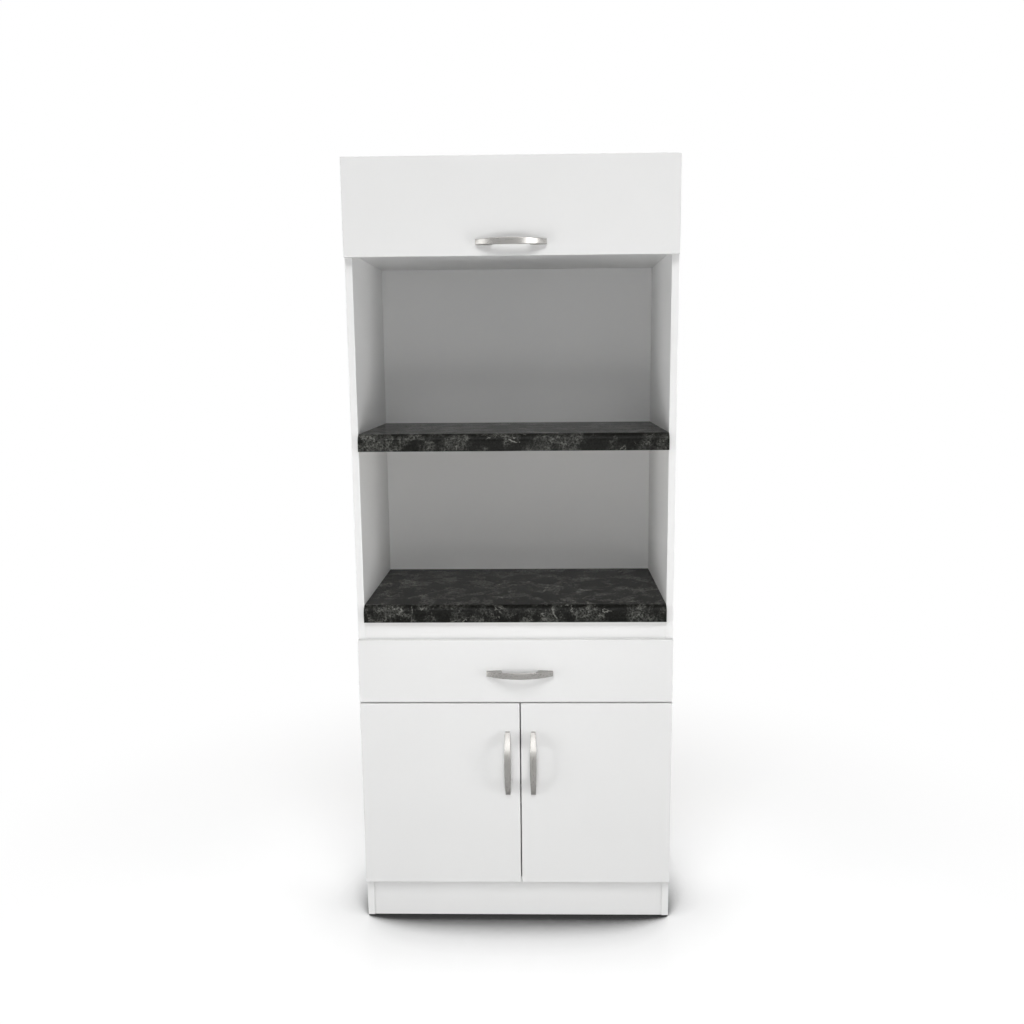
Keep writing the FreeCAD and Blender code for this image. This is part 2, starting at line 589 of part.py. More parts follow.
# ---- fronts ----
def fronts():
    """The doors, the flap and the drawer front with their handles."""
    holes = hinges()
    door_handle_z = DOOR_TOP_Z - DOOR_HANDLE_Z
    for name, side in (("door_left", -1), ("door_right", 1)):
        centre = (DOORS_MEET_X + side * DOOR_HANDLE_X, door_handle_z)
        meeting_x = DOORS_MEET_X + side * DOORS_GAP / 2
        panel = front_panel(*sorted((meeting_x, side * FRONT_X)), DOOR_LOW_Z, DOOR_TOP_Z)
        NODES[name] = [cut(panel, holes[name] + handle_holes(centre, False))]
        pull, screws = handle(centre, False)
        NODES[name + "_handle"] = [pull]
        NODES[name + "_handle_screws"] = screws.Solids

    flap_centre = (0, FLAP_LOW_Z + FLAP_HANDLE_Z)
    panel = front_panel(-FRONT_X, FRONT_X, FLAP_LOW_Z, FLAP_TOP_Z)
    NODES["flap"] = [cut(panel, holes["flap"] + handle_holes(flap_centre, True))]
    pull, screws = handle(flap_centre, True)
    NODES["flap_handle"] = [pull]
    NODES["flap_handle_screws"] = screws.Solids

    drawer_centre = (DOORS_MEET_X, DRAWER_TOP_Z - DRAWER_HANDLE_Z)
    panel = front_panel(-FRONT_X, FRONT_X, DRAWER_LOW_Z, DRAWER_TOP_Z)
    groove_z = BOX_Z + GROOVE_UP
    groove = box(-BOX_X + GROOVE_D, BOX_X - GROOVE_D, FRONT_BACK_Y - GROOVE_D, FRONT_BACK_Y + 1,
                 groove_z - GROOVE_CLEAR, groove_z + BACK_T + GROOVE_CLEAR)
    dowel_holes = [drawer_dowel(side, z, POCKET_CLEAR) for side, z in drawer_dowel_places()]
    NODES["drawer_front"] = [cut(panel, [groove] + dowel_holes + handle_holes(drawer_centre, True))]
    NODES["drawer_dowels"] = [drawer_dowel(side, z, 0) for side, z in drawer_dowel_places()]
    pull, screws = handle(drawer_centre, True)
    NODES["drawer_handle"] = [pull]
    NODES["drawer_handle_screws"] = screws.Solids


# ---- drawer box ----
def drawer_box():
    """Sides, back and bottom of the drawer, held by screws and the bottom's grooves."""
    groove_z = BOX_Z + GROOVE_UP
    inner = BOX_X - DRAWER_SIDE_T
    top_z = BOX_Z + DRAWER_SIDE_H
    for name, side in (("drawer_side_left", -1), ("drawer_side_right", 1)):
        board = box(*span(side, inner, BOX_X), FRONT_BACK_Y, BOX_BACK_Y, BOX_Z, top_z)
        groove = box(*span(side, inner - 1, inner + GROOVE_D), FRONT_BACK_Y - 1, BOX_BACK_Y + 1,
                     groove_z - GROOVE_CLEAR, groove_z + BACK_T + GROOVE_CLEAR)
        dowel_holes = [drawer_dowel(s, z, POCKET_CLEAR) for s, z in drawer_dowel_places() if s == side]
        NODES[name] = [cut(board, [groove] + dowel_holes)]
    back_low = groove_z + BACK_T + GROOVE_CLEAR
    NODES["drawer_back"] = [box(-inner, inner, BOX_BACK_Y - DRAWER_SIDE_T, BOX_BACK_Y, back_low, top_z)]
    edge = inner + GROOVE_D - GROOVE_CLEAR
    NODES["drawer_bottom"] = [box(-edge, edge, FRONT_BACK_Y - GROOVE_D + GROOVE_CLEAR, BOX_BACK_Y,
                                  groove_z, groove_z + BACK_T)]

    def back_screws(side):
        solids = []
        for z in (back_low + DRAWER_SIDE_T, top_z - 2 * DRAWER_SIDE_T):
            place = (side * BOX_X, BOX_BACK_Y - DRAWER_SIDE_T / 2, z)
            solids.append(rod(place, (-side, 0, 0), WOOD_SCREW_R, DRAWER_SIDE_T + WOOD_SCREW_L, SHANK_SIDES))
        return solids
    NODES["drawer_box_screws"] = both_sides(back_screws)


def channel(side):
    """The cabinet member of a roller runner: a C of sheet steel with the front roller's axle."""
    base = INNER_X
    top = CHANNEL_Z + CHANNEL_H
    web = box(*span(side, base - SHEET, base), 0, RUNNER_L, CHANNEL_Z, top)
    track_x = span(side, base - RUNNER_GAP + SHEET + ROLLER_GAP, base)
    lower = box(*track_x, 0, RUNNER_L, CHANNEL_Z, CHANNEL_Z + SHEET)
    lip_y = FRONT_ROLLER_Y + ROLLER_R + 2
    lip = box(*span(side, base - CHANNEL_LIP, base), lip_y, RUNNER_L, top - SHEET, top)
    axle_start = (side * (base - SHEET), FRONT_ROLLER_Y, front_roller_z())
    axle = rod(axle_start, (-side, 0, 0), AXLE_R, ROLLER_W + 2 * ROLLER_GAP, SHANK_SIDES)
    head = rod((side * (base - SHEET - ROLLER_W - 2 * ROLLER_GAP), FRONT_ROLLER_Y, front_roller_z()),
               (-side, 0, 0), AXLE_HEAD_R, AXLE_HEAD_T, SHANK_SIDES)
    body = web.fuse([lower, lip, axle, head]).removeSplitter()
    holes = [rod((side * (base - 2 * SHEET), y, CHANNEL_Z + CHANNEL_H / 2), (side, 0, 0),
                 WOOD_SCREW_R + THREAD_CLEAR, 3 * SHEET, SHANK_SIDES) for y in CHANNEL_SCREW_Y]
    return [cut(body, holes)]


def front_roller_z():
    """Height of the front roller: its top carries the drawer member's lip."""
    return CHANNEL_Z + CHANNEL_H + SHEET - ROLLER_R


def rear_roller_z():
    """Height of the rear roller, which runs inside the channel."""
    return CHANNEL_Z + SHEET + ROLLER_GAP + ROLLER_R


def rear_roller_y():
    return FRONT_BACK_Y + RUNNER_L - REAR_ROLLER_INSET


def roller(x, y, z):
    """A plastic roller on an axle along x."""
    wheel = rod((x - ROLLER_W / 2, y, z), (1, 0, 0), ROLLER_R, ROLLER_W)
    bore_r = round_in(AXLE_R + AXLE_CLEAR, SHANK_SIDES)
    return wheel.cut(rod((x - ROLLER_W, y, z), (1, 0, 0), bore_r, 2 * ROLLER_W, SHANK_SIDES))


def front_roller(side):
    x = side * (INNER_X - SHEET - ROLLER_W / 2 - ROLLER_GAP)
    return [roller(x, FRONT_ROLLER_Y, front_roller_z())]


def rear_roller(side):
    x = side * (BOX_X + SHEET + ROLLER_W / 2 + ROLLER_GAP)
    return [roller(x, rear_roller_y(), rear_roller_z())]


def drawer_member(side):
    """The drawer member: a lip over the front roller, a web and a flange under the drawer side."""
    lip_z = front_roller_z() + ROLLER_R + ROLLER_GAP
    y0, y1 = FRONT_BACK_Y, FRONT_BACK_Y + RUNNER_L
    low = BOX_Z - SHEET
    web = box(*span(side, BOX_X, BOX_X + SHEET), y0, y1, low, lip_z + SHEET)
    lip = box(*span(side, BOX_X, INNER_X - 2 * SHEET), y0, y1, lip_z, lip_z + SHEET)
    flange = box(*span(side, BOX_X - FLANGE_W, BOX_X), y0, y1, low, BOX_Z)
    y, z = rear_roller_y(), rear_roller_z()
    axle_l = SHEET + ROLLER_W + 2 * ROLLER_GAP
    axle = rod((side * BOX_X, y, z), (side, 0, 0), AXLE_R, axle_l, SHANK_SIDES)
    head = rod((side * (BOX_X + axle_l), y, z), (side, 0, 0), AXLE_HEAD_R, AXLE_HEAD_T, SHANK_SIDES)
    body = web.fuse([lip, flange, axle, head]).removeSplitter()
    holes = [rod((side * (BOX_X - DRAWER_SIDE_T / 2), hole_y, low - SHEET), (0, 0, 1),
                 WOOD_SCREW_R + THREAD_CLEAR, 3 * SHEET, SHANK_SIDES) for hole_y in FLANGE_SCREW_Y]
    return [cut(body, holes)]


def channel_screws(side):
    """Pan head screws that hold the channel to the side panel."""
    solids = []
    for y in CHANNEL_SCREW_Y:
        place = (side * (INNER_X - SHEET), y, CHANNEL_Z + CHANNEL_H / 2)
        solids.append(wood_screw(place, (side, 0, 0), WOOD_SCREW_L))
    return solids


def flange_screws(side):
    """Screws up through the drawer member's flange into the drawer side."""
    solids = []
    for y in FLANGE_SCREW_Y:
        place = (side * (BOX_X - DRAWER_SIDE_T / 2), y, BOX_Z - SHEET)
        solids.append(wood_screw(place, (0, 0, 1), FLANGE_SCREW_L))
    return solids


def runners():
    """Both roller runners."""
    NODES["runner_channels"] = both_sides(channel)
    NODES["channel_rollers"] = both_sides(front_roller)
    NODES["runner_channel_screws"] = both_sides(channel_screws)
    NODES["drawer_runners"] = both_sides(drawer_member)
    NODES["drawer_rollers"] = both_sides(rear_roller)
    NODES["drawer_runner_screws"] = both_sides(flange_screws)


# ---- gas stays ----
def stay_points():
    """The (y, z) of the cabinet stud and of the flap stud, both with the flap closed."""
    cabinet = (STAY_Y, TOP_BAY_Z + STAY_UP)
    flap = (FRONT_BACK_Y + FLAP_STUD_OFF, TOP_Z - FLAP_STUD_DOWN)
    return cabinet, flap


def along_stay(shape, side):
    """A shape drawn along +X from the cabinet stud, turned onto the stay's line."""
    (y0, z0), (y1, z1) = stay_points()
    placed = shape.copy()
    placed.rotate(Vector(0, 0, 0), Vector(0, 0, 1), 90)
    placed.rotate(Vector(0, 0, 0), Vector(1, 0, 0), math.degrees(math.atan2(z1 - z0, y1 - y0)))
    placed.translate(Vector(side * (INNER_X - STAY_PLANE), y0, z0))
    return placed


def stay_length():
    """Distance between the studs with the flap closed."""
    (y0, z0), (y1, z1) = stay_points()
    return math.hypot(y1 - y0, z1 - z0)


def stay_cylinder(side):
    """The pressure tube with its ball socket."""
    length = stay_length() - STAY_NECK_L
    socket = rod((0, -STAY_SOCKET_W / 2, 0), (0, 1, 0), STAY_SOCKET_R, STAY_SOCKET_W, DISC_SIDES)
    neck = rod((0, 0, 0), (1, 0, 0), STAY_NECK_R, STAY_NECK_L, SHANK_SIDES)
    tube = rod((STAY_NECK_L, 0, 0), (1, 0, 0), STAY_TUBE_R, length - STAY_NECK_L, CUP_SIDES)
    body = socket.fuse([neck, tube]).removeSplitter()
    bore_end = length - STAY_PISTON_L
    bore = rod((STAY_NECK_L + STAY_TUBE_WALL, 0, 0), (1, 0, 0), STAY_TUBE_R - STAY_TUBE_WALL,
               bore_end - STAY_NECK_L - STAY_TUBE_WALL, CUP_SIDES)
    guide = rod((bore_end - 1, 0, 0), (1, 0, 0), STAY_ROD_R + STAY_RUN, STAY_PISTON_L + 2, SHANK_SIDES)
    seat = rod((0, -STAY_SOCKET_W, 0), (0, 1, 0), round_in(STUD_R + STAY_RUN, DISC_SIDES),
               2 * STAY_SOCKET_W, DISC_SIDES)
    return [along_stay(cut(body, [bore, guide, seat]), side)]


def stay_rod(side):
    """The piston rod with its piston and the socket at the flap's end."""
    length = stay_length()
    piston_x = length - STAY_NECK_L - 2 * STAY_PISTON_L - STAY_STROKE
    piston_r = STAY_TUBE_R - STAY_TUBE_WALL - STAY_RUN
    piston = rod((piston_x, 0, 0), (1, 0, 0), piston_r, STAY_PISTON_L, CUP_SIDES)
    shaft = rod((piston_x, 0, 0), (1, 0, 0), STAY_ROD_R, length - piston_x - STAY_SOCKET_R, SHANK_SIDES)
    neck_l = STAY_NECK_L - STUD_BASE_T
    neck = rod((length - neck_l, 0, 0), (1, 0, 0), STAY_NECK_R, neck_l, SHANK_SIDES)
    socket = rod((length, -STAY_SOCKET_W / 2, 0), (0, 1, 0), STAY_SOCKET_R, STAY_SOCKET_W, DISC_SIDES)
    return [along_stay(piston.fuse([shaft, neck, socket]).removeSplitter(), side)]


def cabinet_stud(side):
    """A base screwed to the side panel with the stud that the tube's socket turns on."""
    y, z = stay_points()[0]
    base = rod((side * INNER_X, y, z), (-side, 0, 0), STUD_BASE_R, STUD_BASE_T, DISC_SIDES)
    stud = rod((side * INNER_X, y, z), (-side, 0, 0), STUD_R, STAY_PLANE + STAY_SOCKET_W / 2, DISC_SIDES)
    return [base.fuse(stud).removeSplitter()]


def flap_bracket(side):
    """An angle on the flap's back whose stud ends beside the rod's socket."""
    y, z = stay_points()[1]
    stud_x = INNER_X - STAY_PLANE - STAY_SOCKET_W / 2 - STUD_GAP
    ear_x = stud_x - 3 * STUD_BASE_T
    ear = box(*span(side, ear_x - STUD_BASE_T, ear_x), FRONT_BACK_Y, y + STUD_R + STUD_BASE_T,
              z - STUD_BASE_R, z + STUD_BASE_R)
    foot = box(*span(side, ear_x - 9 * STUD_BASE_T, ear_x), FRONT_BACK_Y, FRONT_BACK_Y + STUD_BASE_T,
               z - STUD_BASE_R, z + STUD_BASE_R)
    stud = rod((side * ear_x, y, z), (side, 0, 0), STUD_R, stud_x - ear_x, DISC_SIDES)
    return [ear.fuse([foot, stud]).removeSplitter()]


def stays():
    """Both gas stays of the flap."""
    NODES["stay_cabinet_studs"] = both_sides(cabinet_stud)
    NODES["stay_cylinders"] = both_sides(stay_cylinder)
    NODES["stay_rods"] = both_sides(stay_rod)
    NODES["flap_stay_brackets"] = both_sides(flap_bracket)


# ---- carcass ----
def worktop(z):
    """A postformed worktop between the side panels, its top front edge rolled over."""
    board = box(-INNER_X, INNER_X, -WORKTOP_NOSE, SIDE_DEPTH, z, z + WORKTOP_T)
    nose = [e for e in board.Edges
            if all(abs(v.Y + WORKTOP_NOSE) < 0.01 and abs(v.Z - z - WORKTOP_T) < 0.01 for v in e.Vertexes)]
    board = board.makeFillet(WORKTOP_R, nose)
    return cut(board, cam_row(z + CAM_AXIS, -1, CAM_ROW, SIDE_DEPTH - CAM_ROW))


def panel_between(z, depth_from, depth_to, holes):
    """A board between the side panels."""
    return cut(box(-INNER_X, INNER_X, depth_from, depth_to, z, z + BOARD), holes)


def shelf_and_pins():
    """The loose shelf of the lower cupboard on four pins."""
    low = LOWER_BAY_Z + SHELF_RISE
    x = INNER_X - SHELF_GAP
    NODES["shelf"] = [box(-x, x, SHELF_SETBACK, SHELF_SETBACK + SHELF_DEPTH, low, low + BOARD)]
    pins = []
    for side in (-1, 1):
        for y in (SHELF_SETBACK + PIN_ROW, SHELF_SETBACK + SHELF_DEPTH - PIN_ROW):
            pin_z = low - PIN_PLATE_T - PIN_R
            peg = rod((side * (INNER_X + PIN_IN_SIDE), y, pin_z), (-side, 0, 0),
                      PIN_R, PIN_IN_SIDE + PIN_REACH, SHANK_SIDES)
            spoon = box(*span(side, INNER_X - PIN_REACH, INNER_X), y - 2 * PIN_R, y + 2 * PIN_R,
                        low - PIN_PLATE_T, low)
            web = box(*span(side, INNER_X - PIN_REACH, INNER_X), y - PIN_R / 2, y + PIN_R / 2, pin_z, low)
            pins.append(peg.fuse([spoon, web]).removeSplitter())
            SIDE_HOLES[side].append(rod((side * INNER_X, y, pin_z), (side, 0, 0), PIN_R + THREAD_CLEAR,
                                        PIN_IN_SIDE + POCKET_CLEAR, SHANK_SIDES))
    NODES["shelf_pins"] = pins


def glides():
    """Four nail-in glides under the side panels."""
    solids = []
    for side in (-1, 1):
        for y in (2 * CAM_ROW, SIDE_DEPTH - CAM_ROW):
            x = side * (WIDTH / 2 - BOARD / 2)
            pad = rod((x, y, 0), (0, 0, 1), BOARD / 2 - 1, GLIDE_H, DISC_SIDES)
            nail = rod((x, y, GLIDE_H / 2), (0, 0, 1), NAIL_R, WOOD_SCREW_L, SHANK_SIDES)
            solids.append(pad.fuse(nail).removeSplitter())
    NODES["glides"] = solids


def back_nails():
    """Nails that hold the back panels to the side panels."""
    solids = []
    for side in (-1, 1):
        x = side * (WIDTH / 2 - BOARD / 2)
        for low, high in ((BOTTOM_Z, BACK_SPLIT_Z), (BACK_SPLIT_Z, HEIGHT - BACK_INSET)):
            for step in range(3):
                z = low + CAM_ROW + step * (high - low - 2 * CAM_ROW) / 2
                head = rod((x, BACK_Y, z), (0, 1, 0), NAIL_HEAD_R, NAIL_HEAD_T, SHANK_SIDES)
                shank = rod((x, BACK_Y, z), (0, -1, 0), NAIL_R, WOOD_SCREW_L + BACK_T, SHANK_SIDES)
                solids.append(head.fuse(shank).removeSplitter())
    NODES["back_nails"] = solids


def carcass():
    """Every fixed board; the side panels come last, when all their holes are known."""
    back_row = SIDE_DEPTH - CAM_ROW
    NODES["top_panel"] = [panel_between(TOP_Z, 0, SIDE_DEPTH,
                                        cam_row(TOP_Z + CAM_AXIS, -1, CAM_ROW, back_row))]
    NODES["cupboard_floor"] = [panel_between(FLOOR_Z, 0, SIDE_DEPTH,
                                             cam_row(FLOOR_Z + CAM_AXIS, 1, CAM_ROW, back_row))]
    NODES["upper_worktop"] = [worktop(UPPER_TOP_Z)]
    NODES["lower_worktop"] = [worktop(LOWER_TOP_Z)]
    NODES["bottom_panel"] = [panel_between(BOTTOM_Z, 0, SIDE_DEPTH,
                                           cam_row(BOTTOM_Z + CAM_AXIS, -1, CAM_ROW, back_row))]
    rail_places = [(CAM_ROW / 2, RAIL_Z + BOARD / 2), (DRAWER_RAIL_DEPTH - CAM_ROW / 2, RAIL_Z + BOARD / 2)]
    NODES["drawer_rail"] = [panel_between(RAIL_Z, 0, DRAWER_RAIL_DEPTH, dowel_row(rail_places))]
    apron_low = LOWER_TOP_Z - APRON_H
    apron = box(-INNER_X, INNER_X, 0, BOARD, apron_low, LOWER_TOP_Z)
    NODES["apron_rail"] = [cut(apron, dowel_row([(BOARD / 2, apron_low + APRON_H / 4),
                                                 (BOARD / 2, LOWER_TOP_Z - APRON_H / 4)]))]
    plinth_mid = PLINTH_SETBACK + BOARD / 2
    plinth = box(-INNER_X, INNER_X, PLINTH_SETBACK, PLINTH_SETBACK + BOARD, GLIDE_H, BOTTOM_Z)
    NODES["plinth"] = [cut(plinth, dowel_row([(plinth_mid, GLIDE_H + PLINTH_H / 4),
                                              (plinth_mid, BOTTOM_Z - PLINTH_H / 4)]))]
    half = WIDTH / 2 - BACK_INSET
    NODES["back_lower"] = [box(-half, half, SIDE_DEPTH, BACK_Y, BOTTOM_Z, BACK_SPLIT_Z)]
    NODES["back_upper"] = [box(-half, half, SIDE_DEPTH, BACK_Y, BACK_SPLIT_Z, HEIGHT - BACK_INSET)]
    shelf_and_pins()
    glides()
    back_nails()
    for name, side in (("side_left", -1), ("side_right", 1)):
        panel = box(*span(side, INNER_X, WIDTH / 2), 0, SIDE_DEPTH, GLIDE_H, HEIGHT)
        NODES[name] = [cut(panel, SIDE_HOLES[side])]
    NODES["cam_housings"] = CAM_SOLIDS
    NODES["cam_bolts"] = BOLT_SOLIDS
    NODES["dowels"] = DOWEL_SOLIDS


def export():
    """One STEP file per node, with the origin under the middle of the overall depth."""
    os.makedirs("parts", exist_ok=True)
    for name, solids in NODES.items():
        shape = Part.makeCompound(solids) if len(solids) > 1 else solids[0]
        shape.translate(Vector(0, -MIDDLE_Y, 0))
        shape.exportStep("parts/" + name + ".step")
    print(len(NODES), "nodes, height", HEIGHT, "middle y", MIDDLE_Y)


carcass()
fronts()
drawer_box()
runners()
stays()
export()
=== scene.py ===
"""Looks of a tall microwave stand: melamine carcass and fronts, stone-patterned worktops, bow handles."""

import json
import math

import bmesh
import bpy
from bpy.props import FloatProperty, FloatVectorProperty, IntProperty, PointerProperty
from bpy.types import Operator, Panel, PropertyGroup
from mathutils import Matrix, Vector

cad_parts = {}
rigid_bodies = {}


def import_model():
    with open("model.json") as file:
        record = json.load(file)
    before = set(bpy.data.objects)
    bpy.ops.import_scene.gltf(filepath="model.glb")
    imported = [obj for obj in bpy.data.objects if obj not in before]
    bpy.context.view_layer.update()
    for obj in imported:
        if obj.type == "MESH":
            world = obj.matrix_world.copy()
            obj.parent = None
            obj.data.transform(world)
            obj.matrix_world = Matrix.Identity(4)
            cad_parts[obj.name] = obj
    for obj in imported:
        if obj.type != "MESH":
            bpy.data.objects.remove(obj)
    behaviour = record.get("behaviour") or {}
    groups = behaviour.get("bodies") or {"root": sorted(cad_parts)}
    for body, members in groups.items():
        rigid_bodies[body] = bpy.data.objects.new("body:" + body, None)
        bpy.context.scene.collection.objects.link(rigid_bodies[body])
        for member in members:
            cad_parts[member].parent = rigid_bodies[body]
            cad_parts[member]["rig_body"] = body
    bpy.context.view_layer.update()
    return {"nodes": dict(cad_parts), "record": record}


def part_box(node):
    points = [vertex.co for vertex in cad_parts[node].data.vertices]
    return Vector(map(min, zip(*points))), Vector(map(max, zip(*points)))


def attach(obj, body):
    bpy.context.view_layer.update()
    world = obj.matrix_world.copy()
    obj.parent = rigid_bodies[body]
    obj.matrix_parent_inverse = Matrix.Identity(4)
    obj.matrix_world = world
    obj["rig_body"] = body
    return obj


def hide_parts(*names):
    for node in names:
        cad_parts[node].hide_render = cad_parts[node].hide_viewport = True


bl_info = {
    "name": "Microwave stand",
    "version": (1, 0, 0),
    "blender": (4, 5, 0),
    "location": "3D View > Sidebar > Cabinet",
    "description": "Dresses the packed microwave stand with its boards, worktops, handles and fittings",
    "category": "Object",
}

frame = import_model()
NODES = frame["nodes"]
SLOTS = {part["node"]: part["material_slot"] for part in frame["record"]["subparts"]}

# ---- the cabinet's pieces, by kind ----
CARCASS_BOARDS = ("side_left", "side_right", "top_panel", "cupboard_floor", "bottom_panel", "plinth",
                  "apron_rail", "drawer_rail", "shelf")
FRONT_BOARDS = ("flap", "drawer_front", "door_left", "door_right")
DRAWER_BOARDS = ("drawer_side_left", "drawer_side_right", "drawer_back")
THIN_BACKS = ("back_upper", "back_lower")
DRAWER_BOTTOM = "drawer_bottom"
WORKTOPS = ("upper_worktop", "lower_worktop")
FLAT_HANDLES = ("flap_handle", "drawer_handle")
UPRIGHT_HANDLES = ("door_left_handle", "door_right_handle")
CAMS = "cam_housings"
TURNED = ("glides", "cam_bolts", "dowels", "drawer_dowels", "hinge_plate_screws", "flap_handle_screws",
          "drawer_handle_screws", "door_left_handle_screws", "door_right_handle_screws",
          "drawer_runner_screws", "runner_channel_screws", "drawer_box_screws", "back_nails",
          "stay_cabinet_studs")
# the finish of a fitting, from the slot that its node has in the record
FITTING_FINISHES = {"satin_nickel": "nickel_flat", "zinc_plated": "zinc", "white_steel": "runner",
                    "dark_steel": "black", "bright_steel": "chrome", "plastic": "nylon", "beech": "beech"}

# ---- how the meshes are read and shaped, in metres and radians ----
SAME_PLACE = 1e-6                   # corners this near to each other are one
SEAM = 1e-7                         # reach of a cut, and of the merging along a lathe's seam
ON_AXIS = 1e-5                      # a corner this near to a turned solid's axis makes no step
ON_PLANE = 2e-5                     # a corner this near to a board's outer plane lies on it
FLAT_ANGLE = math.radians(0.5)      # CAD triangles that meet at less become one face
SMOOTH_ANGLE = math.radians(34)     # surfaces that meet at less shade as one
RIM_ANGLE = math.radians(50)        # a turned or round piece's rim is sharper than this
STRAP_ANGLE = math.radians(38)      # a handle's long edges are sharper than this
WIDE_SIDE = 0.9                     # a wide side's normal follows the board's thin axis at least this far
FACING = 0.5                        # a face looks along an axis when its normal follows it this far
THIN_ARRIS = 0.0002                 # rounding of the thin panels' edges
ARRIS_STEPS = 2
RIM_STEPS = 2
CAM_STEPS = 4
CAM_HEIGHT = 0.003                  # a cam's upright edges are longer than this
STRAP_CORNER_STEPS = 4
STRAP_EDGE_STEPS = 3
FOOT_MARGIN = 0.002                 # no even cut comes this near to a handle's foot
FRONT_CLEARANCE = 0.001             # edges nearer to the front than this stay sharp
LATHE_DIGITS = 5                    # places and radii are read to a hundredth of a millimetre

# ---- the camera ----
CAMERA_PLACE = (0.06659, -2.36896, 1.31811)
CAMERA_PAN = math.radians(1.27)
CAMERA_TILT = math.radians(-9.49)
CAMERA_ROLL = math.radians(-0.48)
CAMERA_LENS = 34.79                 # millimetres
CAMERA_SENSOR = 36.0                # millimetres
CAMERA_SHIFT = (-0.00979, 0.01356)  # shares of the frame
CAMERA_CLIP = (0.05, 100.0)

# ---- the studio floor ----
FLOOR_REACH = 30.0
SHADE_DISTANCE = 0.36               # the painted shade reaches this far from the cabinet over the floor
SHADE_SAMPLES = 64
# openness of the sky above the floor, and how bright the painted shade leaves the floor there
SHADE_STOPS = ((0.50, 0.03), (0.56, 0.36), (0.625, 0.68), (0.74, 0.845), (0.86, 0.935), (0.97, 1.0))
SHADE_DEPTH = (-0.18, 0.06)         # from here to here, front to back, the painted shade softens
SHADE_SOFTENED = 0.62               # how much of the painted shade is taken away towards the back
WHITE_FROM, WHITE_TO = 0.7, 1.7     # distance from the cabinet's middle over which the floor turns white


# ---- sizes and colours that a user would change ----
def colour(name, description, default):
    """A linear RGB colour property."""
    return FloatVectorProperty(name=name, description=description, default=default, size=3,
                               subtype="COLOR", min=0.0, max=1.0)


def length(name, description, default):
    """A length property in metres."""
    return FloatProperty(name=name, description=description, default=default, min=0.0, unit="LENGTH",
                         precision=4)


def share(name, description, default):
    """A property from 0 to 1."""
    return FloatProperty(name=name, description=description, default=default, min=0.0, max=1.0,
                         subtype="FACTOR")


def power(name, description, default):
    """A lamp's power in watts."""
    return FloatProperty(name=name, description=description, default=default, min=0.0, unit="POWER")


def divisions(name, description, default):
    """A number of divisions."""
    return IntProperty(name=name, description=description, default=default, min=8)


class CabinetFinishes(PropertyGroup):
    """Colours and gloss of the cabinet's finishes."""
    melamine: colour("Melamine", "Colour of the faced boards", (0.80, 0.80, 0.795))
    edge_band: colour("Edge band", "Colour of the boards' edge band", (0.84, 0.84, 0.835))
    melamine_roughness: share("Melamine roughness", "Dullness of the faced boards", 0.42)
    raw_fibreboard: colour("Raw fibreboard", "Bare outer side of the thin back panels", (0.30, 0.19, 0.11))
    backing_paper: colour("Backing paper", "Underside of the worktops", (0.50, 0.47, 0.42))
    stone_dark: colour("Stone ground", "Darkest tone of the worktop laminate", (0.0042, 0.0042, 0.0036))
    stone_mid: colour("Stone cloud", "Pale crumbs in the worktop laminate", (0.185, 0.187, 0.171))
    stone_vein: colour("Stone vein", "Veins and flecks of the worktop laminate", (0.30, 0.30, 0.275))
    stone_roughness: share("Stone roughness", "Dullness of the worktop laminate", 0.30)
    nickel: colour("Satin nickel", "Colour of the handles", (0.295, 0.288, 0.276))
    nickel_roughness: share("Nickel roughness", "Dullness of the handles", 0.28)
    zinc: colour("Zinc", "Colour of hinges, screws and cams", (0.52, 0.53, 0.54))
    chrome: colour("Hard chrome", "Colour of the stays' rods", (0.66, 0.66, 0.66))
    black_lacquer: colour("Black lacquer", "Colour of the stays' cylinders", (0.02, 0.02, 0.021))
    runner_coat: colour("Runner coat", "Epoxy coat of the roller runners", (0.74, 0.74, 0.71))
    nylon: colour("Nylon", "Rollers and glides", (0.68, 0.67, 0.63))
    beech: colour("Beech", "Dowels", (0.52, 0.34, 0.19))


class CabinetSizes(PropertyGroup):
    """Sizes of the dressed pieces."""
    arris: length("Board arris", "Rounding of the boards' outer edges", 0.0009)
    strap_thickness: length("Strap thickness", "Thickness of a handle's strap", 0.0045)
    strap_width: length("Strap width", "Width of a handle's strap in its middle", 0.015)
    strap_end_width: length("Strap end width", "Width of a handle's strap at its ends", 0.011)
    strap_end_rise: length("Strap end rise", "Height of the strap's end above the front", 0.007)
    foot_length: length("Foot length", "Length of a handle's foot on the front", 0.034)
    foot_draft: length("Foot draft", "Growth of a handle's foot up to the strap", 0.004)
    strap_corner: length("Strap corner", "Rounding of the strap's four end corners", 0.0042)
    strap_hollow: length("Strap hollow", "Rise of the strap's underside from a foot to the middle", 0.0032)
    strap_edge: length("Strap edge", "Rounding of the strap's edges", 0.0013)
    strap_steps: divisions("Strap steps", "Divisions along a handle", 26)
    turned_edge: length("Turned edge", "Rounding of the rims of screws, nails, glides and dowels", 0.0003)
    turned_steps: divisions("Turned steps", "Divisions round a turned piece", 28)
    cam_round: length("Cam round", "Rounding of the cams' upright corners", 0.0027)


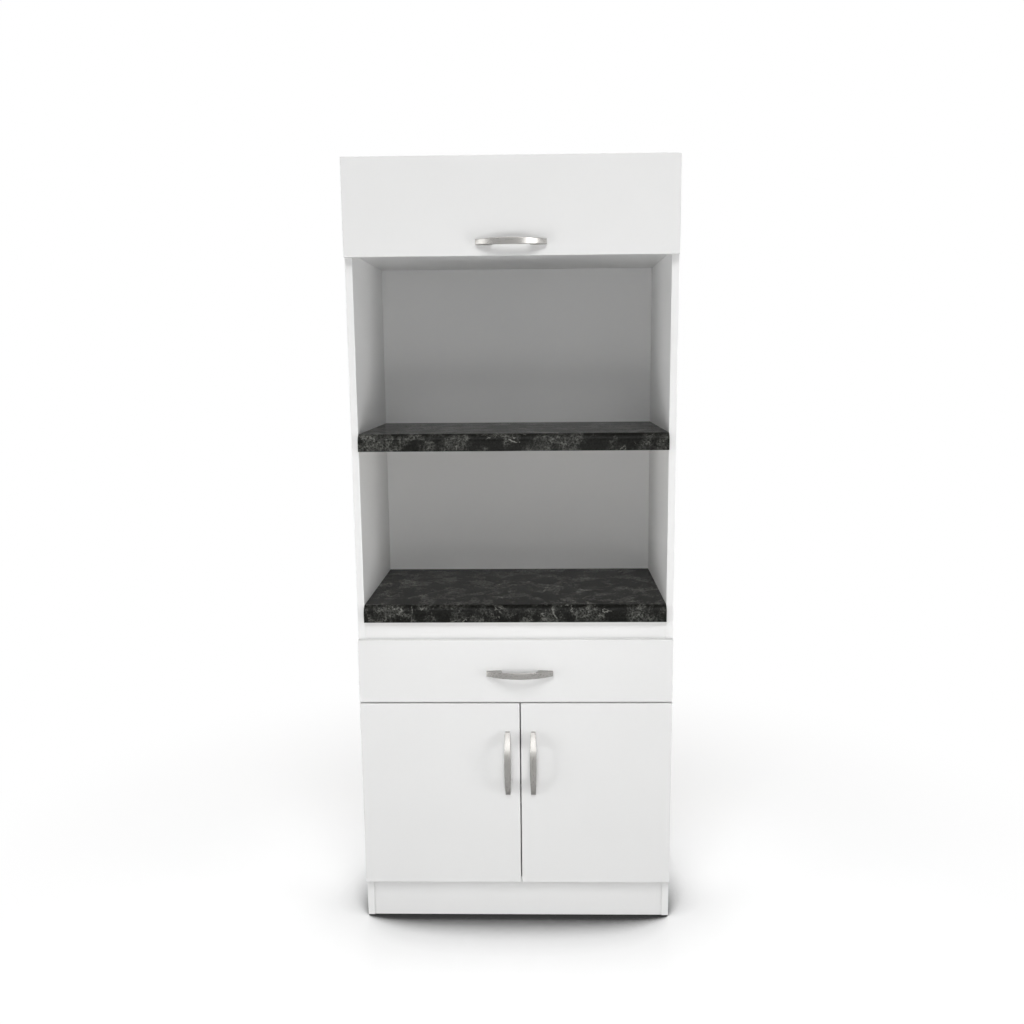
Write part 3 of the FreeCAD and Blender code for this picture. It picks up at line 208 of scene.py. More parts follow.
class CabinetStage(PropertyGroup):
    """Light and floor around the cabinet."""
    key_power: power("Key light", "Power of the large soft light high in front", 126.0)
    low_power: power("Low light", "Power of the soft light in front of the doors", 4.6)
    glint_power: power("Glint light", "Power of the light on the right that shows only in gloss", 29.0)
    rim_power: power("Rim light", "Power of the light on the left that shows only in gloss", 9.5)
    side_power: power("Side light", "Power of each low side light", 42.0)
    back_power: power("Back light", "Power of the soft light behind", 55.0)
    ambient: FloatProperty(name="Ambient", description="Level of the even light from all round",
                           default=0.05, min=0.0)
    floor: colour("Floor", "Colour of the pale floor", (0.62, 0.62, 0.62))
    floor_lift: share("Floor lift", "Brightness added to the floor for the eye alone", 0.55)


# ---- materials ----
class Shader:
    """A node material under construction, with its Principled shader and object coordinates."""

    def __init__(self, name, base, roughness, metallic=0.0):
        self.material = bpy.data.materials.new(name)
        self.material.use_nodes = True
        self.tree = self.material.node_tree
        self.surface = self.tree.nodes["Principled BSDF"]
        self.surface.inputs["Base Color"].default_value = (*base, 1.0)
        self.surface.inputs["Roughness"].default_value = roughness
        self.surface.inputs["Metallic"].default_value = metallic
        self.place = self.tree.nodes.new("ShaderNodeTexCoord").outputs["Object"]

    def plug(self, socket, source):
        """Links a node's output to a socket, or sets the socket's own value."""
        if isinstance(source, bpy.types.NodeSocket):
            self.tree.links.new(source, socket)
        else:
            socket.default_value = source

    def feed(self, name, source):
        """Links a value to the Principled shader."""
        self.plug(self.surface.inputs[name], source)

    def node(self, kind, inputs, **settings):
        """A node of this kind with its settings and inputs."""
        made = self.tree.nodes.new("ShaderNode" + kind)
        for name, value in settings.items():
            setattr(made, name, value)
        for name, source in inputs.items():
            self.plug(made.inputs[name], source)
        return made

    def stretched(self, scale):
        """Object coordinates scaled along each axis."""
        return self.node("Mapping", {"Vector": self.place, "Scale": scale}).outputs["Vector"]

    def noise(self, scale, detail=2.0, rough=0.5, warp=0.0, place=None):
        """Grey noise; a larger scale is finer."""
        return self.node("TexNoise", {"Vector": place or self.place, "Scale": scale, "Detail": detail,
                                      "Roughness": rough, "Distortion": warp}).outputs["Fac"]

    def cells(self, scale):
        """Distance to the nearest of many scattered points; a larger scale is finer."""
        return self.node("TexVoronoi", {"Vector": self.place, "Scale": scale}).outputs["Distance"]

    def ramp(self, value, low, high, out_low=0.0, out_high=1.0):
        """A value mapped from one range to another, smoothly and without overshoot."""
        return self.node("MapRange", {"Value": value, "From Min": low, "From Max": high, "To Min": out_low,
                                      "To Max": out_high}, interpolation_type="SMOOTHSTEP").outputs["Result"]

    def blend(self, factor, first, second):
        """A colour between two others."""
        first, second = (c if isinstance(c, bpy.types.NodeSocket) else (*c, 1.0) for c in (first, second))
        return self.node("Mix", {"Factor": factor, 6: first, 7: second}, data_type="RGBA").outputs[2]

    def maths(self, operation, first, second=0.0):
        """One or two numbers worked into another."""
        return self.node("Math", {0: first, 1: second}, operation=operation).outputs["Value"]

    def bump(self, height, strength, distance):
        """Relief on the surface."""
        made = self.node("Bump", {"Height": height, "Strength": strength, "Distance": distance})
        self.feed("Normal", made.outputs["Normal"])


def lighter(tone, by):
    """A colour made lighter, or darker where the factor is below one."""
    return tuple(min(1.0, part * by) for part in tone)


def melamine_material(finish):
    """White decor paper under resin: a fine pearl grain, a faint cloud in gloss and tone."""
    tone, roughness = finish.melamine, finish.melamine_roughness
    shader = Shader("white_melamine", tone, roughness)
    cloud = shader.noise(5.0, detail=3.0)
    shader.feed("Base Color", shader.blend(cloud, lighter(tone, 0.985), lighter(tone, 1.012)))
    shader.feed("Roughness", shader.ramp(cloud, 0.3, 0.7, roughness - 0.03, roughness + 0.04))
    pearl = shader.noise(1400.0, detail=2.0, rough=0.55)
    shader.bump(pearl, 0.10, 0.00012)
    return shader.material


def edge_band_material(finish):
    """Glossier plastic band on the boards' narrow sides."""
    tone = finish.edge_band
    shader = Shader("edge_band", tone, finish.melamine_roughness - 0.08)
    wave = shader.noise(60.0, detail=2.0)
    shader.feed("Base Color", shader.blend(wave, lighter(tone, 0.98), tone))
    shader.bump(shader.noise(500.0, detail=1.0), 0.06, 0.0001)
    return shader.material


def fibreboard_material(finish):
    """Bare hardboard: matted fibres with a pressed screen pattern."""
    tone = finish.raw_fibreboard
    shader = Shader("raw_fibreboard", tone, 0.78)
    fibres = shader.noise(90.0, detail=6.0, rough=0.65, warp=0.6)
    shader.feed("Base Color", shader.blend(shader.ramp(fibres, 0.3, 0.7), lighter(tone, 0.72),
                                           lighter(tone, 1.22)))
    screen = shader.cells(620.0)
    shader.bump(shader.maths("ADD", screen, fibres), 0.25, 0.0003)
    return shader.material


def backing_material(finish):
    """Brownish balancing paper under the worktops."""
    tone = finish.backing_paper
    shader = Shader("backing_paper", tone, 0.62)
    mottle = shader.noise(26.0, detail=5.0, rough=0.6)
    shader.feed("Base Color", shader.blend(shader.ramp(mottle, 0.3, 0.7), lighter(tone, 0.9),
                                           lighter(tone, 1.06)))
    shader.bump(shader.noise(700.0, detail=2.0), 0.08, 0.0002)
    return shader.material


def stone_ground(shader, finish, drift):
    """The laminate's dark ground with its drifts of pale crumbs, and where the crumbs lie."""
    grain = shader.ramp(shader.noise(230.0, detail=4.0, rough=0.75, warp=0.2), 0.34, 0.68)
    crumb = shader.ramp(shader.noise(85.0, detail=5.0, rough=0.68, warp=0.5), 0.46, 0.66)
    clumped = shader.maths("ADD", shader.maths("MULTIPLY", crumb, 0.68), 0.32)
    crumbs = shader.maths("MULTIPLY", drift, shader.maths("MULTIPLY", grain, clumped))
    dust = shader.maths("MULTIPLY", grain, 0.07)
    tone = shader.blend(shader.maths("ADD", dust, crumbs), finish.stone_dark, finish.stone_mid)
    return tone, crumbs


def stone_marks(shader, drift):
    """Where the laminate's broken veins and bright flecks lie."""
    course = shader.noise(12.0, detail=7.0, rough=0.6, warp=0.9)
    fold = shader.maths("ABSOLUTE", shader.maths("SUBTRACT", course, 0.5))
    line = shader.ramp(fold, 0.016, 0.0)
    broken = shader.ramp(shader.noise(24.0, detail=4.0, rough=0.6), 0.48, 0.62)
    vein = shader.maths("MULTIPLY", shader.maths("MULTIPLY", line, broken), 0.7)
    spot = shader.ramp(shader.cells(24.0), 0.080, 0.035)
    fleck = shader.maths("MULTIPLY", spot, shader.maths("MULTIPLY", drift, 0.9))
    return shader.maths("MAXIMUM", vein, fleck)


def stone_material(finish):
    """Charcoal stone laminate: drifts of fine pale crumbs, broken veins and a few bright flecks."""
    roughness = finish.stone_roughness
    shader = Shader("stone_laminate", finish.stone_dark, roughness)
    shader.surface.inputs["Specular IOR Level"].default_value = 0.04
    drift = shader.ramp(shader.noise(17.0, detail=5.0, rough=0.64, warp=0.5), 0.45, 0.62)
    ground, crumbs = stone_ground(shader, finish, drift)
    shader.feed("Base Color", shader.blend(stone_marks(shader, drift), ground, finish.stone_vein))
    shader.feed("Roughness", shader.ramp(crumbs, 0.0, 1.0, roughness - 0.03, roughness + 0.06))
    shader.bump(shader.noise(1100.0, detail=2.0, rough=0.6), 0.10, 0.00015)
    return shader.material


def brushed_material(name, tone, roughness, closeness):
    """Plated metal brushed along one axis; closeness says how near the lines lie along each axis."""
    shader = Shader(name, tone, roughness, metallic=1.0)
    lines = shader.noise(1.0, detail=3.0, rough=0.6, place=shader.stretched(closeness))
    shader.feed("Base Color", shader.blend(lines, lighter(tone, 0.94), lighter(tone, 1.06)))
    shader.feed("Roughness", shader.ramp(lines, 0.25, 0.75, roughness - 0.015, roughness + 0.02))
    shader.bump(lines, 0.008, 0.00003)
    return shader.material


def plated_material(name, tone, roughness, crystal):
    """Zinc or chrome plate with a faint crystal cloud."""
    shader = Shader(name, tone, roughness, metallic=1.0)
    cloud = shader.noise(crystal, detail=3.0, rough=0.6)
    shader.feed("Base Color", shader.blend(cloud, lighter(tone, 0.9), lighter(tone, 1.08)))
    shader.feed("Roughness", shader.ramp(cloud, 0.3, 0.7, roughness - 0.05, roughness + 0.08))
    shader.bump(shader.noise(crystal * 4, detail=2.0), 0.04, 0.0001)
    return shader.material


def coated_material(name, tone, roughness, relief):
    """Paint, lacquer or moulded plastic with a soft skin."""
    shader = Shader(name, tone, roughness)
    skin = shader.noise(relief, detail=3.0, rough=0.55)
    shader.feed("Base Color", shader.blend(skin, lighter(tone, 0.96), lighter(tone, 1.03)))
    shader.feed("Roughness", shader.ramp(skin, 0.3, 0.7, roughness - 0.04, roughness + 0.05))
    shader.bump(skin, 0.08, 0.0002)
    return shader.material


def beech_material(finish):
    """Turned beech with its grain along the dowel."""
    shader = Shader("beech", finish.beech, 0.6)
    grain = shader.noise(1.0, detail=5.0, rough=0.6, warp=0.3, place=shader.stretched((60.0, 420.0, 420.0)))
    shader.feed("Base Color", shader.blend(grain, lighter(finish.beech, 0.8), lighter(finish.beech, 1.15)))
    shader.bump(grain, 0.12, 0.0003)
    return shader.material


PALETTE = {}


def palette():
    """Every finish by name, made once."""
    if not PALETTE:
        finish = bpy.context.scene.cabinet_finishes
        nickel = (finish.nickel, finish.nickel_roughness)
        PALETTE.update({
            "melamine": melamine_material(finish),
            "edge": edge_band_material(finish),
            "fibreboard": fibreboard_material(finish),
            "backing": backing_material(finish),
            "stone": stone_material(finish),
            "nickel_flat": brushed_material("satin_nickel_flat", *nickel, (6.0, 520.0, 520.0)),
            "nickel_upright": brushed_material("satin_nickel_upright", *nickel, (520.0, 520.0, 6.0)),
            "zinc": plated_material("zinc_plate", finish.zinc, 0.34, crystal=160.0),
            "chrome": plated_material("hard_chrome", finish.chrome, 0.14, crystal=60.0),
            "black": coated_material("black_lacquer", finish.black_lacquer, 0.38, relief=240.0),
            "runner": coated_material("runner_coat", finish.runner_coat, 0.4, relief=500.0),
            "nylon": coated_material("nylon", finish.nylon, 0.5, relief=300.0),
            "beech": beech_material(finish),
        })
    return PALETTE


# ---- building and placing pieces ----
def publish(name, work, finishes, node):
    """Makes the finished mesh an object that stands for a CAD node and rides on its body."""
    for face in work.faces:
        face.smooth = True
    mesh = bpy.data.meshes.new(name)
    work.to_mesh(mesh)
    work.free()
    for finish in finishes:
        mesh.materials.append(palette()[finish])
    piece = bpy.data.objects.new(name, mesh)
    bpy.context.scene.collection.objects.link(piece)
    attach(piece, NODES[node]["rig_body"])
    mesh.set_sharp_from_angle(angle=SMOOTH_ANGLE)
    piece.modifiers.new("even_normals", "WEIGHTED_NORMAL").keep_sharp = True
    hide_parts(node)


def publish_board(work, finishes, finish_of, node):
    """Publishes a board whose faces each get a finish from their normal."""
    for face in work.faces:
        face.material_index = finish_of(face.normal)
    publish(node + "_board", work, finishes, node)


def loose_copy(node):
    """A CAD node's mesh with its triangles joined at their corners."""
    copy = bmesh.new()
    copy.from_mesh(NODES[node].data)
    bmesh.ops.remove_doubles(copy, verts=copy.verts, dist=SAME_PLACE)
    return copy


def merged_copy(node):
    """A CAD node's mesh with its triangles joined into whole faces."""
    copy = loose_copy(node)
    bmesh.ops.dissolve_limit(copy, angle_limit=FLAT_ANGLE, verts=copy.verts, edges=copy.edges)
    return copy


def round_edges(work, edges, offset, segments):
    """A small round on the given edges."""
    bmesh.ops.bevel(work, geom=edges, offset=offset, offset_type="OFFSET", segments=segments, profile=0.5,
                    affect="EDGES", clamp_overlap=True, material=-1)


# ---- boards ----
def outer_planes(vert, low, high):
    """The outer planes of a board that a corner lies on, as pairs of an axis and a side."""
    return {(axis, side) for axis in range(3) for side, limit in enumerate((low, high))
            if abs(vert.co[axis] - limit[axis]) < ON_PLANE}


def eased_board(node, arris):
    """A board's mesh from its CAD node, with a round on the edges where two outer planes meet."""
    low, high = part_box(node)
    work = merged_copy(node)
    outline = [edge for edge in work.edges
               if len(outer_planes(edge.verts[0], low, high) & outer_planes(edge.verts[1], low, high)) >= 2]
    round_edges(work, outline, arris, ARRIS_STEPS)
    return work


def banded(axis):
    """Gives a face finish 0 on the board's wide sides, which look along this axis, and 1 on its edges."""
    def finish_of(normal):
        return 0 if abs(normal[axis]) > WIDE_SIDE else 1
    return finish_of


def banded_board(node):
    """A melamine board with banded and eased edges."""
    low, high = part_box(node)
    thin_axis = min(range(3), key=lambda axis: high[axis] - low[axis])
    work = eased_board(node, bpy.context.scene.cabinet_sizes.arris)
    publish_board(work, ("melamine", "edge"), banded(thin_axis), node)


def bare_below(normal):
    """Finish 1 on the underside and 0 elsewhere."""
    return 1 if normal.z < -FACING else 0


def bare_behind(normal):
    """Finish 0 on the side that faces the front and 1 elsewhere."""
    return 0 if normal.y < -FACING else 1


def backed(normal):
    """Finish 1 on a worktop's underside and rear edge, 0 where the laminate runs."""
    return 1 if normal.z < -FACING or normal.y > FACING else 0


# ---- turned and rounded fittings ----
def loose_solids(work):
    """The separate solids of a mesh, each as a list of its corners."""
    solids, taken = [], set()
    for first in work.verts:
        if first in taken:
            continue
        taken.add(first)
        solid = [first]
        for vert in solid:          # the list grows while it is walked
            for edge in vert.link_edges:
                other = edge.other_vert(vert)
                if other not in taken:
                    taken.add(other)
                    solid.append(other)
        solids.append(solid)
    return solids


def lathe_profile(solid):
    """The axis, the middle and the steps (place, radius) of a turned solid, read from its corners.

    The axis is the one along which the corners fall on the fewest different steps.
    """
    low = Vector([min(vert.co[axis] for vert in solid) for axis in range(3)])
    high = Vector([max(vert.co[axis] for vert in solid) for axis in range(3)])
    middle = (low + high) / 2
    readings = []
    for axis in range(3):
        steps = set()
        for vert in solid:
            off = vert.co - middle
            place = off[axis]
            off[axis] = 0.0
            steps.add((round(place, LATHE_DIGITS), round(off.length, LATHE_DIGITS)))
        readings.append((len(steps), axis, steps))
    axis, steps = min(readings)[1:]
    profile = []
    for place in sorted({place for place, radius in steps}):
        radii = sorted(radius for at, radius in steps if at == place)
        last = profile[-1][1] if profile else 0.0
        if len(radii) > 1 and abs(radii[-1] - last) < abs(radii[0] - last):
            radii.reverse()     # a shoulder starts from the radius that the step before it had
        profile += [(place, radius) for radius in radii if radius > ON_AXIS]
    return axis, middle, profile


def turned_copy(node, sizes):
    """A CAD node's prisms turned round on the lathe, with eased rims."""
    prisms = loose_copy(node)
    work = bmesh.new()
    for solid in loose_solids(prisms):
        axis, middle, profile = lathe_profile(solid)
        along = Vector([float(other == axis) for other in range(3)])
        outward = Vector([float(other == (axis + 1) % 3) for other in range(3)])
        line = [work.verts.new(middle + along * place + outward * radius) for place, radius in profile]
        edges = [work.edges.new(pair) for pair in zip(line, line[1:])]
        bmesh.ops.spin(work, geom=line + edges, cent=middle, axis=along, angle=math.tau,
                       steps=sizes.turned_steps, use_merge=True)
    prisms.free()
    bmesh.ops.remove_doubles(work, verts=work.verts, dist=SEAM)
    bmesh.ops.holes_fill(work, edges=[edge for edge in work.edges if edge.is_boundary], sides=0)
    bmesh.ops.recalc_face_normals(work, faces=work.faces)
    rims = [edge for edge in work.edges if edge.calc_face_angle(0.0) > RIM_ANGLE]
    round_edges(work, rims, sizes.turned_edge, RIM_STEPS)
    return work


def rounded_cams(sizes):
    """The cams' eight-sided bodies rounded off; the notch for the bolt stays."""
    work = merged_copy(CAMS)
    upright = [edge for edge in work.edges if edge.calc_face_angle(0.0) < RIM_ANGLE
               and abs(edge.verts[0].co.z - edge.verts[1].co.z) > CAM_HEIGHT]
    round_edges(work, upright, sizes.cam_round, CAM_STEPS)
    return work


# ---- handles ----
def cut_block(half, places):
    """A block from -half to half along X, cut across at these places."""
    block = bmesh.new()
    bmesh.ops.create_cube(block, size=1.0)
    bmesh.ops.scale(block, vec=(2 * half, 1.0, 1.0), verts=block.verts)
    for place in places:
        bmesh.ops.bisect_plane(block, geom=block.verts[:] + block.edges[:] + block.faces[:], dist=SEAM,
                               plane_co=(place, 0, 0), plane_no=(1, 0, 0))
    return block


def bow(half, reach, sizes):
    """A bow handle along X on a front at Y = 0: a strap that narrows to its ends on two long feet."""
    foot = half - sizes.foot_length
    neck = foot - sizes.foot_draft
    steps = sizes.strap_steps
    places = [half * (2 * step / steps - 1) for step in range(1, steps)]
    places = [place for place in places if not neck - FOOT_MARGIN < abs(place) < foot + FOOT_MARGIN]
    work = cut_block(half, places + [-foot, -neck, neck, foot])

    rise = reach - sizes.strap_end_rise
    radius = (half ** 2 + rise ** 2) / (2 * rise)
    hollow_ends = reach - sizes.strap_thickness - sizes.strap_hollow
    for vert in work.verts:
        along = vert.co.x
        if vert.co.y > 0:                           # the strap's outer side
            out = reach - radius + math.sqrt(radius ** 2 - along ** 2)
        elif abs(along) < neck + SAME_PLACE:        # the hollow underside between the feet
            out = hollow_ends + sizes.strap_hollow * (1 - (along / neck) ** 2)
        else:                                       # a foot, on the front
            out = 0.0
        bulge = sizes.strap_width - sizes.strap_end_width
        width = sizes.strap_end_width + bulge * (1 - (along / half) ** 2)
        vert.co = Vector((along, -out, math.copysign(width / 2, vert.co.z)))

    end_corners = [edge for edge in work.edges
                   if all(abs(abs(vert.co.x) - half) < SAME_PLACE for vert in edge.verts)
                   and abs(edge.verts[0].co.z - edge.verts[1].co.z) < SAME_PLACE]
    round_edges(work, end_corners, sizes.strap_corner, STRAP_CORNER_STEPS)
    outer_edges = [edge for edge in work.edges if edge.calc_face_angle(0.0) > STRAP_ANGLE
                   and max(vert.co.y for vert in edge.verts) < -FRONT_CLEARANCE]
    round_edges(work, outer_edges, sizes.strap_edge, STRAP_EDGE_STEPS)
    return work


# ---- operators, one for each piece or group of like pieces ----
class CABINET_OT_carcass(Operator):
    """Dress the carcass boards in melamine with banded edges"""
    bl_idname = "cabinet.carcass"
    bl_label = "Carcass boards"

    def execute(self, context):
        for node in CARCASS_BOARDS:
            banded_board(node)
        return {"FINISHED"}


class CABINET_OT_backs(Operator):
    """Dress the thin panels: white inside, bare hardboard outside"""
    bl_idname = "cabinet.backs"
    bl_label = "Thin panels"

    def execute(self, context):
        for node in THIN_BACKS + (DRAWER_BOTTOM,):
            finish_of = bare_below if node == DRAWER_BOTTOM else bare_behind
            publish_board(eased_board(node, THIN_ARRIS), ("melamine", "fibreboard"), finish_of, node)
        return {"FINISHED"}


class CABINET_OT_fronts(Operator):
    """Dress the flap, the drawer front and the doors"""
    bl_idname = "cabinet.fronts"
    bl_label = "Fronts"

    def execute(self, context):
        for node in FRONT_BOARDS:
            publish_board(merged_copy(node), ("melamine", "edge"), banded(1), node)
        return {"FINISHED"}


class CABINET_OT_drawer(Operator):
    """Dress the drawer's sides and back"""
    bl_idname = "cabinet.drawer"
    bl_label = "Drawer box"

    def execute(self, context):
        for node in DRAWER_BOARDS:
            banded_board(node)
        return {"FINISHED"}


class CABINET_OT_worktops(Operator):
    """Dress the worktops in stone laminate that rolls over the nose, with backing paper below"""
    bl_idname = "cabinet.worktops"
    bl_label = "Worktops"

    def execute(self, context):
        for node in WORKTOPS:
            publish_board(merged_copy(node), ("stone", "backing"), backed, node)
        return {"FINISHED"}


class CABINET_OT_handles(Operator):
    """Model the four bow handles: a strap that narrows to its ends on two long feet"""
    bl_idname = "cabinet.handles"
    bl_label = "Handles"

    def execute(self, context):
        for node in FLAT_HANDLES:
            self.place(node, "nickel_flat", upright=False)
        for node in UPRIGHT_HANDLES:
            self.place(node, "nickel_upright", upright=True)
        return {"FINISHED"}

    def place(self, node, finish, upright):
        """A bow as long and as deep as the CAD handle, set where that handle is."""
        low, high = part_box(node)
        span = high - low
        work = bow((span.z if upright else span.x) / 2, span.y, bpy.context.scene.cabinet_sizes)
        if upright:
            bmesh.ops.rotate(work, cent=(0, 0, 0), matrix=Matrix.Rotation(math.radians(90), 3, "Y"),
                             verts=work.verts)
        centre = (low + high) / 2
        bmesh.ops.translate(work, vec=(centre.x, high.y, centre.z), verts=work.verts)
        bmesh.ops.recalc_face_normals(work, faces=work.faces)
        publish(node + "_bow", work, (finish,), node)


class CABINET_OT_fittings(Operator):
    """Turn or smooth the hinges, runners, stays and fasteners and give them their finishes"""
    bl_idname = "cabinet.fittings"
    bl_label = "Fittings"

    def execute(self, context):
        sizes = context.scene.cabinet_sizes
        for node, slot in SLOTS.items():
            finish = FITTING_FINISHES.get(slot)
            if node in TURNED:
                publish(node + "_turned", turned_copy(node, sizes), (finish,), node)
            elif node == CAMS:
                publish(node + "_round", rounded_cams(sizes), (finish,), node)
            elif finish and node not in FLAT_HANDLES + UPRIGHT_HANDLES:
                publish(node + "_smooth", merged_copy(node), (finish,), node)
        return {"FINISHED"}


# ---- stage ----
def painted_contact_shade(shader):
    """The floor's painted shade: its colour darkened where the sky is closed off, darkest at the line of
    contact, softer to the back.
    """
    open_sky = shader.node("AmbientOcclusion", {"Distance": SHADE_DISTANCE}, samples=SHADE_SAMPLES)
    shade = shader.node("ValToRGB", {"Fac": open_sky.outputs["AO"]})
    elements = shade.color_ramp.elements
    while len(elements) < len(SHADE_STOPS):
        elements.new(0.5)           # its place is set below
    for element, (openness, level) in zip(elements, SHADE_STOPS):
        element.position = openness
        element.color = (level, level, level, 1.0)
    # the painted shade is lightened towards the back by the floor's depth, not by any lamp
    depth = shader.node("SeparateXYZ", {0: shader.place}).outputs["Y"]
    painted_shade_softening = shader.ramp(depth, *SHADE_DEPTH, 0.0, SHADE_SOFTENED)
    return shader.blend(painted_shade_softening, shade.outputs["Color"], (1.0, 1.0, 1.0))


def studio_floor_material(stage):
    """A pale floor that keeps the cabinet's real shadows, is darkened near the cabinet by painted shade for
    the eye and for gloss, and turns plain white for the eye further off.
    """
    shader = Shader("studio_floor", stage.floor, 0.85)
    shader.surface.inputs["Specular IOR Level"].default_value = 0.1
    path = shader.node("LightPath", {})
    mirrored = shader.maths("MAXIMUM", path.outputs["Is Glossy Ray"], path.outputs["Is Transmission Ray"])
    seen = shader.maths("MAXIMUM", path.outputs["Is Camera Ray"], mirrored)
    # for the eye and for gloss the floor's colour and its lift carry the painted contact shade; other rays
    # see the plain floor
    level = shader.blend(seen, (1.0, 1.0, 1.0), painted_contact_shade(shader))
    shader.feed("Base Color", shader.blend(level, (0.0, 0.0, 0.0), stage.floor))
    strength = shader.maths("MULTIPLY", seen, stage.floor_lift)
    lift = shader.node("Emission", {"Color": level, "Strength": strength})
    near = shader.node("AddShader", {0: shader.surface.outputs["BSDF"], 1: lift.outputs["Emission"]})
    far = shader.node("Emission", {"Color": (1.0, 1.0, 1.0, 1.0)})
    distance = shader.node("VectorMath", {0: shader.place}, operation="LENGTH").outputs["Value"]
    fade = shader.maths("MULTIPLY", shader.ramp(distance, WHITE_FROM, WHITE_TO), seen)
    whole = shader.node("MixShader", {0: fade, 1: near.outputs["Shader"], 2: far.outputs["Emission"]})
    shader.plug(shader.tree.nodes["Material Output"].inputs["Surface"], whole.outputs["Shader"])
    return shader.material


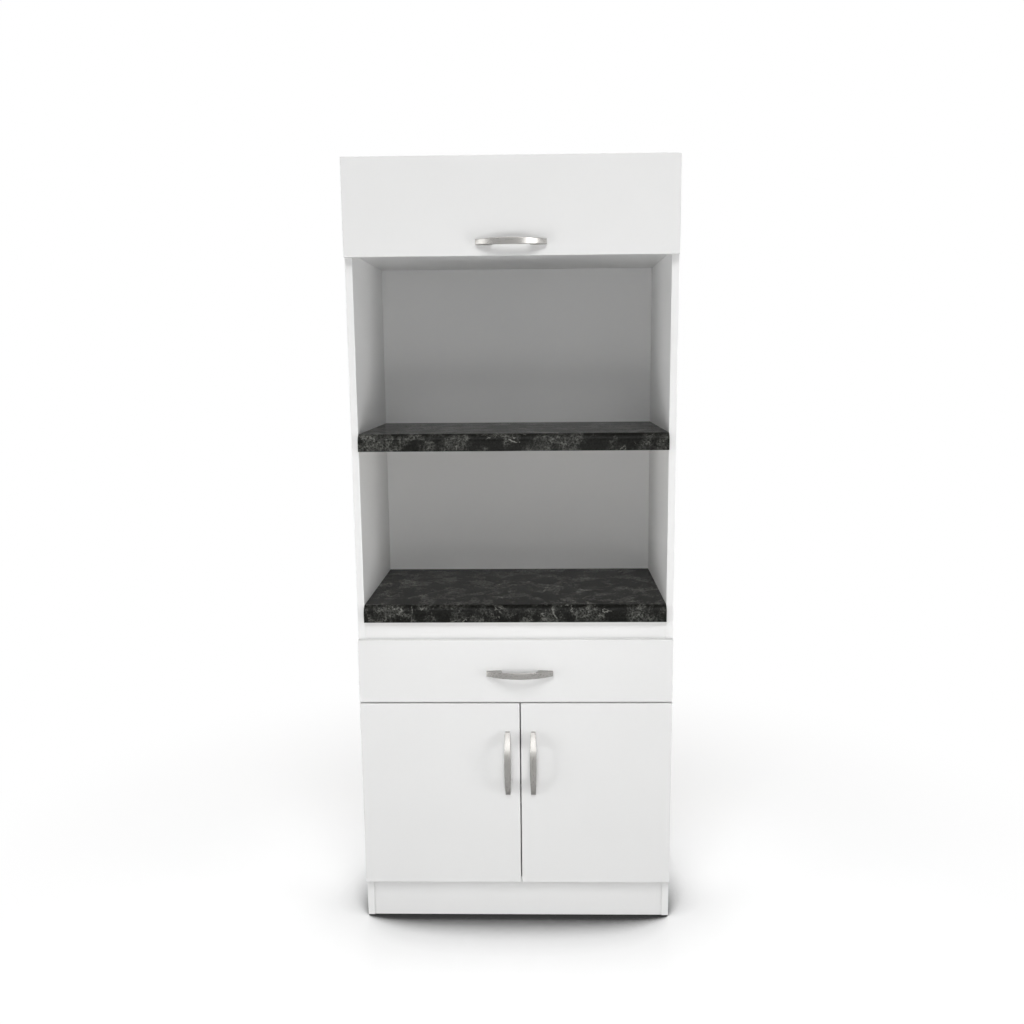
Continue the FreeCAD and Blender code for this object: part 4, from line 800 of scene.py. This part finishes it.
class CABINET_OT_stage(Operator):
    """Set the floor, the lights and the camera"""
    bl_idname = "cabinet.stage"
    bl_label = "Stage"

    def execute(self, context):
        stage = context.scene.cabinet_stage
        self.floor(stage)
        self.world(stage)
        self.lamp("key_light", stage.key_power, place=(0.0, -3.2, 4.6), aim=(0.0, -0.2, 0.8), size=(3.0, 2.0))
        self.lamp("low_light", stage.low_power, place=(0.0, -1.5, 0.85), aim=(0.0, -0.2, 0.55),
                  size=(0.7, 0.7))
        self.lamp("glint_light", stage.glint_power, place=(1.9, -3.2, 1.9), aim=(0.0, -0.2, 1.5),
                  size=(0.8, 0.7), gloss_only=True)
        self.lamp("rim_light", stage.rim_power, place=(-2.8, -2.4, 1.9), aim=(0.0, -0.2, 1.5),
                  size=(0.9, 0.7), gloss_only=True)
        self.lamp("back_light", stage.back_power, place=(0.0, 3.6, 2.4), aim=(0.0, 0.2, 0.7), size=(2.4, 1.8))
        for name, side in (("left_light", -1), ("right_light", 1)):
            self.lamp(name, stage.side_power, place=(side * 3.2, -1.4, 0.6), aim=(0.0, -0.2, 0.4),
                      size=(1.0, 1.0))
        self.camera()
        context.scene.view_settings.view_transform = "Standard"
        return {"FINISHED"}

    def floor(self, stage):
        """A wide floor at the cabinet's feet."""
        plane = bmesh.new()
        bmesh.ops.create_grid(plane, x_segments=1, y_segments=1, size=FLOOR_REACH)
        mesh = bpy.data.meshes.new("floor")
        plane.to_mesh(mesh)
        plane.free()
        mesh.materials.append(studio_floor_material(stage))
        floor = bpy.data.objects.new("studio_floor", mesh)
        bpy.context.scene.collection.objects.link(floor)

    def world(self, stage):
        """A white studio for the eye and for gloss, which lights the cabinet only a little."""
        world = bpy.data.worlds.new("studio")
        bpy.context.scene.world = world
        world.use_nodes = True
        tree = world.node_tree
        background = tree.nodes["Background"]
        background.inputs["Color"].default_value = (1.0, 1.0, 1.0, 1.0)
        path = tree.nodes.new("ShaderNodeLightPath")
        seen = tree.nodes.new("ShaderNodeMath")
        seen.operation = "MAXIMUM"
        tree.links.new(path.outputs["Is Camera Ray"], seen.inputs[0])
        tree.links.new(path.outputs["Is Glossy Ray"], seen.inputs[1])
        level = tree.nodes.new("ShaderNodeMapRange")
        level.inputs["To Min"].default_value = stage.ambient
        level.inputs["To Max"].default_value = 1.0
        tree.links.new(seen.outputs["Value"], level.inputs["Value"])
        tree.links.new(level.outputs["Result"], background.inputs["Strength"])

    def lamp(self, name, watts, place, aim, size, gloss_only=False):
        """A rectangular lamp that looks at its aim."""
        data = bpy.data.lights.new(name, "AREA")
        data.shape = "RECTANGLE"
        data.size, data.size_y = size
        data.energy = watts
        lamp = bpy.data.objects.new(name, data)
        lamp.location = place
        lamp.rotation_euler = (Vector(aim) - Vector(place)).to_track_quat("-Z", "Y").to_euler()
        lamp.visible_camera = False
        lamp.visible_diffuse = not gloss_only
        bpy.context.scene.collection.objects.link(lamp)

    def camera(self):
        """The camera in front, panned, tilted down and rolled a little."""
        data = bpy.data.cameras.new("camera")
        data.sensor_width = CAMERA_SENSOR
        data.lens = CAMERA_LENS
        data.shift_x, data.shift_y = CAMERA_SHIFT
        data.clip_start, data.clip_end = CAMERA_CLIP
        camera = bpy.data.objects.new("camera", data)
        turn = Matrix.Rotation(CAMERA_PAN, 3, "Z") @ Matrix.Rotation(CAMERA_TILT, 3, "X")
        ahead = turn @ Vector((0, 1, 0))
        right = turn @ Vector((1, 0, 0))
        up = turn @ Vector((0, 0, 1))
        rolled_right = right * math.cos(CAMERA_ROLL) + up * math.sin(CAMERA_ROLL)
        rolled_up = up * math.cos(CAMERA_ROLL) - right * math.sin(CAMERA_ROLL)
        axes = Matrix((rolled_right, rolled_up, -ahead)).transposed().to_4x4()
        camera.matrix_world = Matrix.Translation(CAMERA_PLACE) @ axes
        bpy.context.scene.collection.objects.link(camera)
        bpy.context.scene.camera = camera


# ---- the add-on ----
class CABINET_PT_panel(Panel):
    """Lists the cabinet's steps, sizes and colours"""
    bl_label = "Microwave stand"
    bl_idname = "CABINET_PT_panel"
    bl_space_type = "VIEW_3D"
    bl_region_type = "UI"
    bl_category = "Cabinet"

    def draw(self, context):
        for operator in OPERATORS:
            self.layout.operator(operator.bl_idname)
        for group in GROUPS:
            settings = getattr(context.scene, group)
            column = self.layout.column(align=True)
            for name in settings.__annotations__:
                column.prop(settings, name)


OPERATORS = (CABINET_OT_carcass, CABINET_OT_backs, CABINET_OT_fronts, CABINET_OT_drawer, CABINET_OT_worktops,
             CABINET_OT_handles, CABINET_OT_fittings, CABINET_OT_stage)
GROUPS = {"cabinet_finishes": CabinetFinishes, "cabinet_sizes": CabinetSizes, "cabinet_stage": CabinetStage}


def register():
    """Registers the settings, the operators and the panel."""
    for name, group in GROUPS.items():
        bpy.utils.register_class(group)
        setattr(bpy.types.Scene, name, PointerProperty(type=group))
    for operator in OPERATORS:
        bpy.utils.register_class(operator)
    bpy.utils.register_class(CABINET_PT_panel)


def unregister():
    """Takes away what register added."""
    bpy.utils.unregister_class(CABINET_PT_panel)
    for operator in reversed(OPERATORS):
        bpy.utils.unregister_class(operator)
    for name, group in GROUPS.items():
        delattr(bpy.types.Scene, name)
        bpy.utils.unregister_class(group)


def main():
    """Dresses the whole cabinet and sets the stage."""
    register()
    bpy.ops.cabinet.carcass()
    bpy.ops.cabinet.backs()
    bpy.ops.cabinet.fronts()
    bpy.ops.cabinet.drawer()
    bpy.ops.cabinet.worktops()
    bpy.ops.cabinet.handles()
    bpy.ops.cabinet.fittings()
    bpy.ops.cabinet.stage()


if __name__ == "__main__":
    main()
